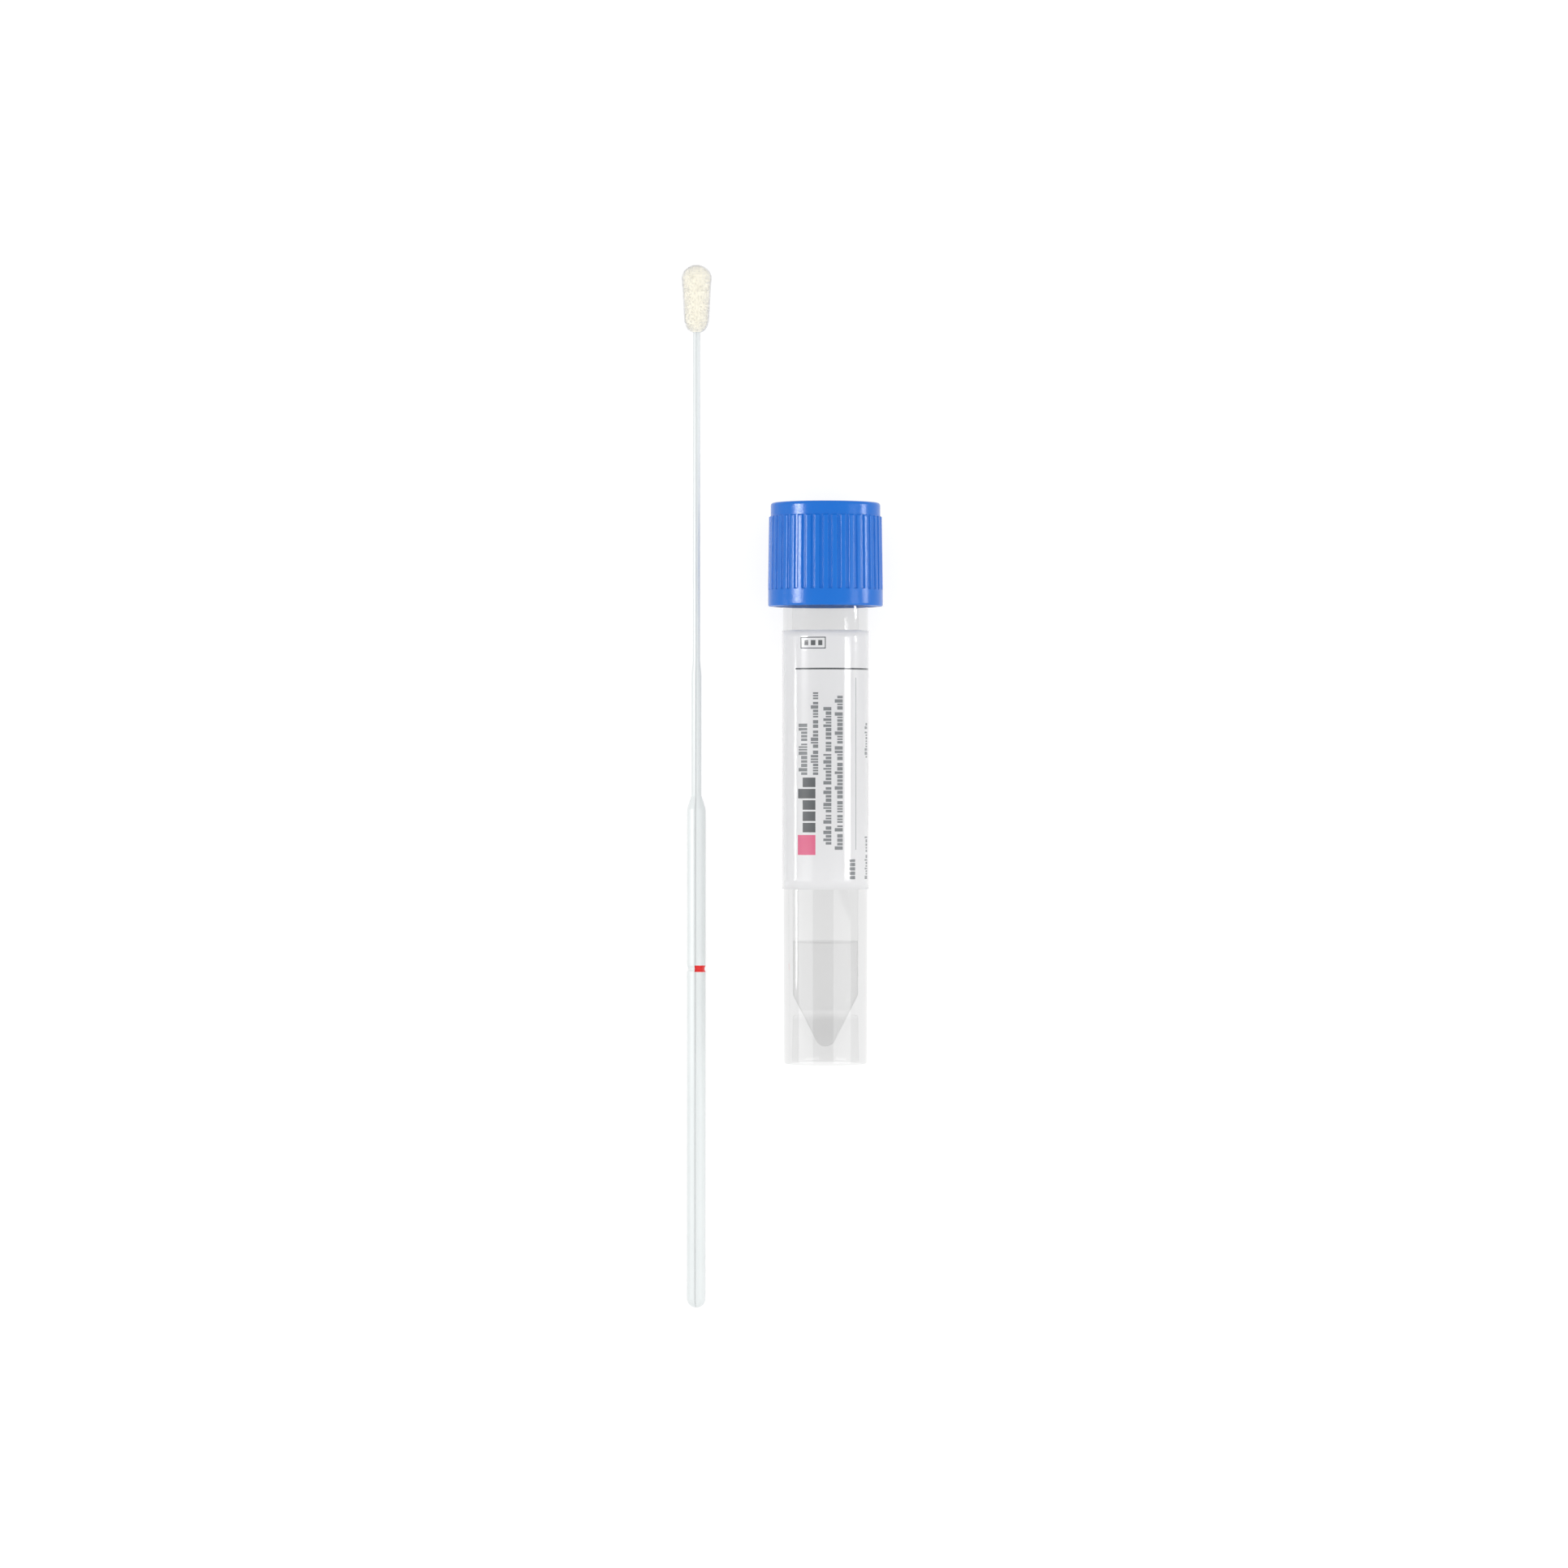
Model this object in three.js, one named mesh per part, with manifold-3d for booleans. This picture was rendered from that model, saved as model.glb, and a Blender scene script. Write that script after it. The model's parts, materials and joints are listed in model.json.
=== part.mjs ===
// Specimen swab tube: a clear self-standing transport tube with its screw cap on, a wrap-round
// label and a little liquid medium, and beside it the flocked swab that belongs in it.
// Millimetres, +Z up. Both lie on the ground plane as they come to rest, long axes along Y,
// with the cap and the swab's tip towards +Y. The origin is on the ground, mid-way across both.
// Each piece is drawn upright in its own group, with its axis on Z, and the group lays it down.
import * as THREE from 'three';
import { mergeVertices } from 'three/addons/utils/BufferGeometryUtils.js';
import Module from 'manifold-3d';

const wasm = await Module();
wasm.setup();

// ---------------------------------------------------------------- driving dimensions

// Tube: one moulding with a conical floor inside an open skirt. Heights are from its base.
const tubeHeight = 78.65;
const tubeRadius = 6; // outside, at the base
const tubeFlare = 0.19; // the outside is this much wider at the neck, which is its draft
const tubeWall = 1.3;
const boreDraft = 0.1; // the bore is this much wider at the rim than over the cone
const coneHalfAngle = THREE.MathUtils.degToRad(27);
const coneTipRadius = 1.5;
const coneTipHeight = 2.5; // lowest point of the cavity
const coneWall = 1;
const gateHeight = 1.1; // the cone's blunt outer end, above the base
const skirtWall = 1.3;
const skirtDraft = 0.12; // the skirt's inside is this much wider at the base
const skirtCrotchReach = 1.6; // how far its rounding runs down the skirt and the cone
const tubeEdge = 0.3; // rounding of the base's and the rim's edges

// Screw thread, right-handed, on the neck and in the cap.
const threadPitch = 3;
const threadHeight = 0.66;
const threadRootWidth = 1.5;
const threadCrestWidth = 0.6;
const threadRootClearance = 0.15; // crest to wall, on both sides
const threadFlankClearance = 0.12; // along the axis, between the flanks that pull the cap down
const tubeThreadTurns = 2;
const capThreadTurns = 1.75;
const tubeThreadDrop = 1.75; // rim to the top end of the neck's ridge
const capThreadRise = 2.7; // cap's lower edge to the bottom end of its ridge
const threadRunOut = THREE.MathUtils.degToRad(30); // each ridge fades over this angle
const threadRooting = 0.2; // how far a ridge's foot reaches into the wall that carries it
const threadEndShare = 0.1; // share of its full height that a ridge ends with, inside that wall

// Screw cap: one moulding, with the ring that grips the broken-off stick inside its top.
const capHeight = 15;
const capTopThickness = 1.25;
const capWall = 1.3; // at the lower band
const capDraft = 0.145; // the ribs' crests lean in by this much over their height
const capEdge = 0.3;
const capTopEdge = 0.45;
const lowerBandHeight = 2.4;
const upperBandHeight = 2.05;
const ribCount = 40;
const ribHeight = 0.23; // how far the ribs stand out from the upper band
const grooveWidth = 0.62;
const grooveFloorWidth = 0.36;
const grooveFloorProud = 0.02; // how far the grooves' floors stand out from the upper band
const cutterReach = 0.5; // how far a groove's cutter reaches past the ribs' crests
const mouthChamfer = 0.45;
const dockClearance = 0.05;
const dockWall = 1;
const dockLength = 5.2;
const dockFunnelDepth = 1.5;
const dockFunnelFlare = 0.7;
const dockDraft = 0.15;
const dockLipRounding = 0.15;

// Sealing washer between the rim and the cap's top.
const sealThickness = 1;
const sealFaceGap = 0.1; // above and below it
const sealSideGap = 0.15; // round its outside and inside
const sealEdge = 0.2;

// Label: one strip wrapped round the body, its end lapped over its start.
const labelBottom = 25.3;
const labelBelowCap = 3.5; // bare neck between its upper edge and the cap
const labelThickness = 0.07;
const labelGlue = 0.02;
const labelLap = 2.2;
const labelRamp = 0.8; // length over which the strip climbs onto its own start

// Liquid medium.
const mediumLevel = 17.4;
const mediumGap = 0.03;
const meniscusRise = 0.35;
const meniscusWidth = 1.2;
const meniscusCurl = 0.3; // its curve bends level about this far from the wall

// Swab stick: one moulding. Lengths run from the handle's round end.
const swabLength = 152;
const handleRadius = 1.35;
const handleLength = 72.2;
const shoulderLength = 2.2;
const shoulderStep = 0.4; // straight edge of the handle before it necks in
const shoulderFillet = 0.6; // at the foot of the shoulder, on the shank
const shankRadius = 0.72;
const shankEnd = 92;
const shankTaper = 2.1;
const stemRadius = 0.53;
const breakGrooveFromEnd = 49.2;
const breakGrooveWidth = 0.8;
const breakGrooveDepth = 0.15;

// Flocked tip: a coat of fibres on the stem's end.
const tipLength = 10;
const tipBellyRadius = 2.28;
const tipDomeLength = 2.1;
const tipBodyRadius = 2.1; // where the head begins to swell out of the body
const tipBodyEnd = 5.6;
const tipWaistRadius = 1.88;
const tipWaistHeight = 1.8;
const tipHeelRadius = 1.6; // the coat's round heel bends about this circle
const tipHeelHeight = 0.15;
const tipCoatOverStem = 1.3; // flock beyond the stem's end
const tipGap = 0.03;

// Where the two lie.
const axisSpacing = 18.75;

// Faces round a full turn.
const tubeFacets = 64;
const capFacets = 2 * ribCount;
const hollowFacets = 48;
const swabFacets = 24;
const tipFacets = 28;
const threadFacets = 48;
const labelRampSteps = 4; // faces along the label's ramp, and as fine over its lap

// ---------------------------------------------------------------- what follows from them

const neckRadius = tubeRadius + tubeFlare;
const boreRadius = tubeRadius - tubeWall;
const skirtInnerRadius = tubeRadius - skirtWall;
const tubeThreadStart = tubeHeight - tubeThreadDrop - tubeThreadTurns * threadPitch;
const flankSlope = (threadRootWidth - threadCrestWidth) / 2 / threadHeight;

const capCeiling = tubeHeight + sealThickness + 2 * sealFaceGap;
const capTop = capCeiling + capTopThickness;
const capBottom = capTop - capHeight;
const capBoreRadius = neckRadius + threadHeight + threadRootClearance;
const capRadius = capBoreRadius + capWall;
const ribCrestRadius = capRadius - capDraft;
const upperBandRadius = ribCrestRadius - ribHeight;
const labelTop = capBottom - labelBelowCap;
const dockSocketRadius = handleRadius + dockClearance;
const dockRadius = dockSocketRadius + dockWall;

// ---------------------------------------------------------------- geometry helpers

const weldDistance = 1e-4;

/** A closed three.js geometry as a manifold-3d solid, its shared vertices welded. */
function toSolid(geometry) {
  const bare = new THREE.BufferGeometry();
  bare.setAttribute('position', geometry.getAttribute('position'));
  bare.setIndex(geometry.getIndex());
  const welded = mergeVertices(bare, weldDistance);
  const corners = welded.getIndex().array;
  const triVerts = [];
  for (let i = 0; i < corners.length; i += 3) {
    const [a, b, c] = corners.slice(i, i + 3);
    if (a !== b && b !== c && c !== a) triVerts.push(a, b, c);
  }
  return new wasm.Manifold(new wasm.Mesh({
    numProp: 3,
    vertProperties: welded.getAttribute('position').array,
    triVerts: Uint32Array.from(triVerts),
  }));
}

/** A manifold-3d solid as a three.js geometry. */
function toGeometry(solid) {
  const { vertProperties, triVerts } = solid.getMesh();
  const geometry = new THREE.BufferGeometry();
  geometry.setAttribute('position', new THREE.BufferAttribute(vertProperties, 3));
  geometry.setIndex(new THREE.BufferAttribute(triVerts, 1));
  geometry.computeVertexNormals();
  return geometry;
}

/** Points on an arc in the (radius, height) plane, both ends included. */
function arc(centreRadius, centreHeight, radiusAcross, radiusUp, from, to, steps) {
  return Array.from({ length: steps + 1 }, (_, i) => {
    const angle = from + (to - from) * i / steps;
    const across = centreRadius + radiusAcross * Math.cos(angle);
    return [across, centreHeight + radiusUp * Math.sin(angle)];
  });
}

/** Points on the curve from one point to another that bends half-way towards a third. */
function bend(from, towards, to, steps = 4) {
  const curve = new THREE.QuadraticBezierCurve(
    new THREE.Vector2(...from), new THREE.Vector2(...towards), new THREE.Vector2(...to));
  return curve.getPoints(steps).map((point) => [point.x, point.y]);
}

/** An outline's corners [radius, height, reach, steps], each rounded by a curve of that reach. */
function rounded(corners) {
  return corners.flatMap(([radius, height, reach = 0, steps = 2], i) => {
    if (reach === 0) return [[radius, height]];
    const corner = new THREE.Vector2(radius, height);
    const reachTowards = ([r, h]) => {
      const side = new THREE.Vector2(r, h).sub(corner);
      return side.setLength(reach).add(corner).toArray();
    };
    const last = corners.length - 1;
    const before = corners[i === 0 ? last : i - 1];
    const after = corners[i === last ? 0 : i + 1];
    return bend(reachTowards(before), corner.toArray(), reachTowards(after), steps);
  });
}

/** An outline of [radius, height] points turned about Z. It runs up the outside of the solid. */
function revolve(outline, facets) {
  const points = outline.map(([radius, height]) => new THREE.Vector2(radius, height));
  return new THREE.LatheGeometry(points, facets).rotateX(Math.PI / 2);
}

/**
 * One screw ridge. Its trapezoid is extruded along the angle and then wrapped round Z, rising by
 * the pitch each turn. It fades at both ends until its crest is below the wall that carries it.
 * The wall is at rootRadius, and crestRadius is outside it on a neck or inside it in a cap. A
 * ridge that points inwards has its section turned by half a turn, so its faces still look out.
 */
function threadRidge({ rootRadius, crestRadius, startAngle, startHeight, turns }) {
  const outwards = Math.sign(crestRadius - rootRadius);
  const crestHeight = Math.abs(crestRadius - rootRadius);
  const halfCrest = threadRootWidth / 2 - flankSlope * crestHeight;
  const halfFoot = threadRootWidth / 2 + flankSlope * threadRooting;
  const section = new THREE.Shape([
    new THREE.Vector2(-halfFoot, -threadRooting),
    new THREE.Vector2(-halfCrest, crestHeight),
    new THREE.Vector2(halfCrest, crestHeight),
    new THREE.Vector2(halfFoot, -threadRooting),
  ]);
  const sweep = turns * 2 * Math.PI;
  const ridge = new THREE.ExtrudeGeometry(section, {
    depth: sweep,
    steps: Math.round(turns * threadFacets),
    bevelEnabled: false,
  });
  const position = ridge.getAttribute('position');
  for (let i = 0; i < position.count; i += 1) {
    const along = position.getZ(i);
    const fromEnd = Math.min(along, sweep - along);
    const fade = THREE.MathUtils.smoothstep(fromEnd, 0, threadRunOut);
    const share = THREE.MathUtils.lerp(threadEndShare, 1, fade);
    const fromWall = share * (position.getY(i) + threadRooting) - threadRooting;
    const radius = rootRadius + outwards * fromWall;
    const angle = startAngle + along;
    const rise = threadPitch * along / (2 * Math.PI);
    const height = startHeight + outwards * position.getX(i) + rise;
    position.setXYZ(i, radius * Math.cos(angle), radius * Math.sin(angle), height);
  }
  return toSolid(ridge);
}

/** A named piece with its own material. */
function piece(name, geometry, look) {
  const mesh = new THREE.Mesh(geometry, new THREE.MeshStandardMaterial(look));
  mesh.name = name;
  return mesh;
}

// ---------------------------------------------------------------- tube and what it holds

/** Outside radius of the tube at a height above its base. */
function tubeRadiusAt(height) {
  return tubeRadius + tubeFlare * Math.min(1, height / capBottom);
}

/** The cone's side, set in by a distance: where it leaves the round tip and where it ends. */
function coneSide(inset, endRadius) {
  const tipCentre = coneTipHeight + coneTipRadius;
  const tipRadius = coneTipRadius - inset;
  const startRadius = tipRadius * Math.cos(coneHalfAngle);
  const startHeight = tipCentre - tipRadius * Math.sin(coneHalfAngle);
  const endHeight = startHeight + (endRadius - startRadius) / Math.tan(coneHalfAngle);
  return { tipCentre, tipRadius, startRadius, startHeight, endHeight };
}

/** The cavity's floor, set in by a distance, from the bore's foot down to the axis. */
function cavityFloor(inset) {
  const side = coneSide(inset, boreRadius - inset);
  const tip = arc(0, side.tipCentre, side.tipRadius, side.tipRadius,
    -coneHalfAngle, -Math.PI / 2, 4);
  tip[tip.length - 1][0] = 0;
  return [[boreRadius - inset, side.endHeight], ...tip];
}

/** Radius of the bore at a height above the cone. */
function boreRadiusAt(height) {
  const foot = coneSide(0, boreRadius).endHeight;
  return boreRadius + boreDraft * (height - foot) / (tubeHeight - foot);
}

function makeTube() {
  const underside = coneSide(-coneWall, skirtInnerRadius);
  const gateRadius = underside.startRadius
    - (underside.startHeight - gateHeight) * Math.tan(coneHalfAngle);
  const outline = rounded([
    [0, gateHeight],
    [gateRadius, gateHeight],
    [skirtInnerRadius, underside.endHeight, skirtCrotchReach, 3],
    [skirtInnerRadius + skirtDraft, 0, tubeEdge],
    [tubeRadius, 0, tubeEdge],
    [tubeRadiusAt(capBottom), capBottom],
    [neckRadius, tubeHeight, tubeEdge],
    [boreRadius + boreDraft, tubeHeight, tubeEdge],
    ...cavityFloor(0),
  ]);
  const body = toSolid(revolve(outline, tubeFacets));
  const ridge = threadRidge({
    rootRadius: neckRadius,
    crestRadius: neckRadius + threadHeight,
    startAngle: 0,
    startHeight: tubeThreadStart,
    turns: tubeThreadTurns,
  });
  return piece('tube', toGeometry(body.add(ridge)),
    { color: 0xeef1f2, roughness: 0.12, metalness: 0, transparent: true, opacity: 0.3 });
}

function makeMedium() {
  const wallRadius = boreRadiusAt(mediumLevel) - mediumGap;
  const surface = bend([wallRadius, mediumLevel + meniscusRise],
    [wallRadius - meniscusCurl, mediumLevel],
    [wallRadius - meniscusWidth, mediumLevel]);
  const outline = [...cavityFloor(mediumGap).reverse(), ...surface, [0, mediumLevel]];
  return piece('liquid_medium', toGeometry(toSolid(revolve(outline, tubeFacets))),
    { color: 0xe3e6e6, roughness: 0.02, metalness: 0, transparent: true, opacity: 0.3 });
}

/**
 * The label as one strip: its section is a band that runs once round the tube and then on over
 * its own start, which it climbs onto along a short ramp. The lap is at the back, on +Y.
 */
function makeLabel() {
  const innerRadius = tubeRadiusAt(labelTop) + labelGlue;
  const lapAngle = labelLap / innerRadius;
  const rampAngle = labelRamp / innerRadius;
  const climb = labelThickness + labelGlue;
  const startAngle = Math.PI / 2 - lapAngle / 2;
  const turn = 2 * Math.PI;
  const rampStart = turn - 2 * rampAngle;
  const liftAt = (along) => climb
    * THREE.MathUtils.smoothstep(along, rampStart, rampStart + rampAngle);
  const stretch = (from, to, step) => {
    const steps = Math.ceil((to - from) / step);
    return Array.from({ length: steps }, (_, i) => from + (to - from) * i / steps);
  };
  const stops = [
    ...stretch(0, rampStart, turn / tubeFacets),
    ...stretch(rampStart, turn + lapAngle, rampAngle / labelRampSteps),
    turn + lapAngle,
  ];
  const pointAt = (along, radius) => new THREE.Vector2(
    (radius + liftAt(along)) * Math.cos(startAngle + along),
    (radius + liftAt(along)) * Math.sin(startAngle + along));
  const section = new THREE.Shape([
    ...stops.map((along) => pointAt(along, innerRadius)),
    ...stops.toReversed().map((along) => pointAt(along, innerRadius + labelThickness)),
  ]);
  const strip = new THREE.ExtrudeGeometry(section, {
    depth: labelTop - labelBottom,
    bevelEnabled: false,
  });
  strip.translate(0, 0, labelBottom);
  return piece('label', toGeometry(toSolid(strip)),
    { color: 0xe8e8ea, roughness: 0.35, metalness: 0 });
}

// ---------------------------------------------------------------- cap and seal

/** Cutters for the grooves between the ribs: each leans in with the ribs and runs out on top. */
function ribGrooves() {
  const grooveDepth = ribHeight - grooveFloorProud;
  const cutterDepth = grooveDepth + cutterReach;
  const flare = (grooveWidth - grooveFloorWidth) / 2 / grooveDepth;
  const halfOuter = grooveFloorWidth / 2 + flare * cutterDepth;
  const section = new THREE.Shape([
    new THREE.Vector2(0, -grooveFloorWidth / 2),
    new THREE.Vector2(cutterDepth, -halfOuter),
    new THREE.Vector2(cutterDepth, halfOuter),
    new THREE.Vector2(0, grooveFloorWidth / 2),
  ]);
  const ribLength = capHeight - lowerBandHeight - upperBandHeight;
  const cutters = Array.from({ length: ribCount }, (_, i) => {
    const cutter = new THREE.ExtrudeGeometry(section, {
      depth: ribLength + upperBandHeight / 2,
      bevelEnabled: false,
    });
    cutter.rotateY(-Math.atan(capDraft / ribLength));
    cutter.translate(capRadius - grooveDepth, 0, capBottom + lowerBandHeight);
    cutter.rotateZ((i + 0.5) * 2 * Math.PI / ribCount);
    return toSolid(cutter);
  });
  return wasm.Manifold.union(cutters);
}

/** What the cap is hollowed out by: its bore, up to the ceiling and round the docking ring. */
function capHollow() {
  const dockMouth = capCeiling - dockLength;
  return revolve(rounded([
    [0, capBottom - capEdge],
    [capBoreRadius + mouthChamfer + capEdge, capBottom - capEdge],
    [capBoreRadius, capBottom + mouthChamfer],
    [capBoreRadius, capCeiling],
    [dockRadius + dockDraft, capCeiling],
    [dockRadius, dockMouth, dockLipRounding],
    [dockSocketRadius + dockFunnelFlare, dockMouth],
    [dockSocketRadius, dockMouth + dockFunnelDepth],
    [dockSocketRadius, capCeiling],
    [0, capCeiling],
  ]), hollowFacets);
}

/** The ridge in the cap's bore. It pulls on the underside of the neck's ridge all the way round. */
function capThread() {
  const bothHalfWidths = threadRootWidth - flankSlope * (capBoreRadius - neckRadius);
  const belowNeckRidge = bothHalfWidths + threadFlankClearance;
  const startHeight = capBottom + capThreadRise;
  return threadRidge({
    rootRadius: capBoreRadius,
    crestRadius: neckRadius + threadRootClearance,
    startAngle: 2 * Math.PI * (startHeight + belowNeckRidge - tubeThreadStart) / threadPitch,
    startHeight,
    turns: capThreadTurns,
  });
}

function makeCap() {
  const ribTop = capTop - upperBandHeight;
  const outside = rounded([
    [0, capBottom],
    [capRadius, capBottom, capEdge, 3],
    [capRadius, capBottom + lowerBandHeight],
    [ribCrestRadius, ribTop],
    [upperBandRadius, ribTop + ribHeight / 2],
    [upperBandRadius, capTop, capTopEdge, 3],
    [0, capTop],
  ]);
  const shell = toSolid(revolve(outside, capFacets))
    .subtract(ribGrooves())
    .subtract(toSolid(capHollow()))
    .add(capThread());
  return piece('screw_cap', toGeometry(shell),
    { color: 0x2a75d8, roughness: 0.3, metalness: 0 });
}

function makeSeal() {
  const inner = dockRadius + dockDraft + sealSideGap;
  const outer = capBoreRadius - sealSideGap;
  const bottom = tubeHeight + sealFaceGap;
  const top = bottom + sealThickness;
  const ring = rounded([
    [inner, bottom],
    [outer, bottom, sealEdge],
    [outer, top, sealEdge],
    [inner, top],
  ]);
  return piece('cap_seal', toGeometry(toSolid(revolve([...ring, ring[0]], hollowFacets))),
    { color: 0xf2f2ee, roughness: 0.7, metalness: 0 });
}

// ---------------------------------------------------------------- swab

function makeStick() {
  const grooveBottom = breakGrooveFromEnd - breakGrooveWidth / 2;
  const grooveTop = breakGrooveFromEnd + breakGrooveWidth / 2;
  const stemEnd = swabLength - tipCoatOverStem;
  const roundEnd = arc(0, handleRadius, handleRadius, handleRadius, -Math.PI / 2, 0, 6);
  roundEnd[0][0] = 0;
  const stemRound = arc(0, stemEnd - stemRadius, stemRadius, stemRadius, 0, Math.PI / 2, 3);
  stemRound[stemRound.length - 1][0] = 0;
  const outline = [
    ...roundEnd,
    ...bend([handleRadius, grooveBottom],
      [handleRadius - 2 * breakGrooveDepth, breakGrooveFromEnd], [handleRadius, grooveTop], 6),
    [handleRadius, handleLength],
    ...bend([handleRadius, handleLength + shoulderStep],
      [shankRadius, handleLength + shoulderLength - shoulderFillet],
      [shankRadius, handleLength + shoulderLength]),
    [shankRadius, shankEnd],
    [stemRadius, shankEnd + shankTaper],
    ...stemRound,
  ];
  return piece('swab_stick', toGeometry(toSolid(revolve(outline, swabFacets))),
    { color: 0xe6ebeb, roughness: 0.35, metalness: 0 });
}

function makeTip() {
  const bottom = swabLength - tipLength;
  const domeStart = swabLength - tipDomeLength;
  const holeRadius = stemRadius + tipGap;
  const holeEnd = swabLength - tipCoatOverStem + tipGap;
  const heel = bend([holeRadius, bottom], [tipHeelRadius, bottom + tipHeelHeight],
    [tipWaistRadius, bottom + tipWaistHeight]);
  const head = bend([tipBodyRadius, bottom + tipBodyEnd],
    [(tipBodyRadius + tipBellyRadius) / 2 - 0.03, domeStart - 1], [tipBellyRadius, domeStart]);
  const dome = arc(0, domeStart, tipBellyRadius, tipDomeLength, 0, Math.PI / 2, 7);
  dome[dome.length - 1][0] = 0;
  const outline = [
    [0, holeEnd],
    [holeRadius, holeEnd],
    ...heel,
    ...head,
    ...dome.slice(1),
  ];
  return piece('swab_tip', toGeometry(toSolid(revolve(outline, tipFacets))),
    { color: 0xf8f6ef, roughness: 0.95, metalness: 0 });
}

// ---------------------------------------------------------------- laid down together

/**
 * A group that lays its upright pieces along +Y on the ground. It rests on two rims, each given
 * as [radius, height], so it leans by the angle that brings both down to the ground.
 */
function layDown(pieces, lowRim, highRim, across, length) {
  const lean = Math.atan2(highRim[0] - lowRim[0], highRim[1] - lowRim[1]);
  const group = new THREE.Group();
  group.add(...pieces);
  group.rotation.x = lean - Math.PI / 2;
  group.position.set(
    across,
    -length / 2 * Math.cos(lean),
    lowRim[0] * Math.cos(lean) - lowRim[1] * Math.sin(lean));
  return group;
}

const swabAcross = -(axisSpacing + capRadius - tipBellyRadius) / 2;
const tubeAcross = swabAcross + axisSpacing;

const specimenSwabTube = new THREE.Group();
specimenSwabTube.add(
  layDown([makeTube(), makeMedium(), makeLabel(), makeCap(), makeSeal()],
    [tubeRadius, tubeEdge], [capRadius, capBottom + capEdge], tubeAcross, capTop),
  layDown([makeStick(), makeTip()],
    [handleRadius, handleRadius], [tipBellyRadius, swabLength - tipDomeLength],
    swabAcross, swabLength),
);

export default specimenSwabTube;
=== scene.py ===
# %% [markdown]
# # A specimen swab tube, laid flat beside its swab
# The object is a clear transport tube with a ribbed blue screw cap, a wrap-round label and a little
# liquid medium, and beside it the flocked swab that belongs in it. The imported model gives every
# piece its place and size, so this lesson begins by loading it. Each piece is then made again as a
# much finer surface, worked out with numpy, in the space that its plain solid holds.

# %% Load the fixed frame and keep its box
import json
import math

import bpy
import numpy as np
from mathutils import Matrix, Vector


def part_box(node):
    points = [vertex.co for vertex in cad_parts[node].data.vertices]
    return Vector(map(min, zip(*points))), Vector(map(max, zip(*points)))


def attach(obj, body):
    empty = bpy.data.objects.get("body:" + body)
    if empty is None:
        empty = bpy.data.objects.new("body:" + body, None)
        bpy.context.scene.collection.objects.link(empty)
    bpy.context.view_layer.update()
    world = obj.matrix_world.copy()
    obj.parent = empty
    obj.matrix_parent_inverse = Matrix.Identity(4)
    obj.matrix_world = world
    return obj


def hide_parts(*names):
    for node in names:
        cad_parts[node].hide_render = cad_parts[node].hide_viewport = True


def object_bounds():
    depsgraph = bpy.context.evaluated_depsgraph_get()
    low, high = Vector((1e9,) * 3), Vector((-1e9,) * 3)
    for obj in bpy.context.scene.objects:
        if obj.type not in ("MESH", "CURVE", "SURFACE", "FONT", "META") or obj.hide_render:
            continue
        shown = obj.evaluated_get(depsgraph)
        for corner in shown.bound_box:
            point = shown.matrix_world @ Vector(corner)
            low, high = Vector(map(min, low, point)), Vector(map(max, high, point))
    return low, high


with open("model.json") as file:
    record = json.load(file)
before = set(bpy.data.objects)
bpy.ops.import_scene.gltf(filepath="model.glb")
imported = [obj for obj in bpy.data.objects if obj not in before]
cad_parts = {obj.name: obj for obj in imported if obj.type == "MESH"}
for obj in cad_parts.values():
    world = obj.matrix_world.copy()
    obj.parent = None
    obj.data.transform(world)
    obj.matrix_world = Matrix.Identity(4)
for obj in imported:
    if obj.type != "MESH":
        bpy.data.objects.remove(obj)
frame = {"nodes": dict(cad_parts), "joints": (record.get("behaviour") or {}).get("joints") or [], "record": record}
cad_box = [list(corner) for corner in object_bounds()]
print("nodes:", sorted(frame["nodes"]))

# %% [markdown]
# ## Where the two lie
# The tube doesn't lie quite flat: it rests on the rim of its skirt and on the wider rim of its cap,
# so it leans by two degrees. The cap's screw joint already holds that axis, and the record's mount
# holds the middle of the tube's base. The swab rests on its thick handle and on its fluffy tip.
# Each piece is easiest to draw upright, with its axis on z and the side that faces up at -y. One
# small function then lays it down, so that the finished mesh has its place in its own points.

# %% Two placements, from upright millimetres to metres in the frame
MM = 0.001
ACROSS, ALONG, UP = np.eye(3)


def laying_down(base, axis):
    """Gives a function that lays upright points down: x stays, z runs along the axis, and -y
    turns up."""
    axis = np.array(axis) / np.linalg.norm(axis)
    turn = np.stack([ACROSS, np.cross(axis, ACROSS), axis])
    return lambda points: (np.array(base) + np.asarray(points) @ turn) * MM


def middle(node):
    """The middle of a node's box, in millimetres."""
    low, high = (np.array(corner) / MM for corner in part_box(node))
    return (low + high) / 2


screw = next(joint for joint in frame["joints"] if joint["name"] == "cap_turn")
mount = next(m for m in frame["record"]["mounts"] if m["name"] == "standing_ring")
tube_axis = np.array(screw["axis"]) / np.linalg.norm(screw["axis"])
on_axis = np.array(screw["pos_m"]) / MM
tube_base = on_axis + tube_axis * ((np.array(mount["pos_m"]) / MM - on_axis) @ tube_axis)
lay_tube = laying_down(tube_base, tube_axis)

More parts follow.
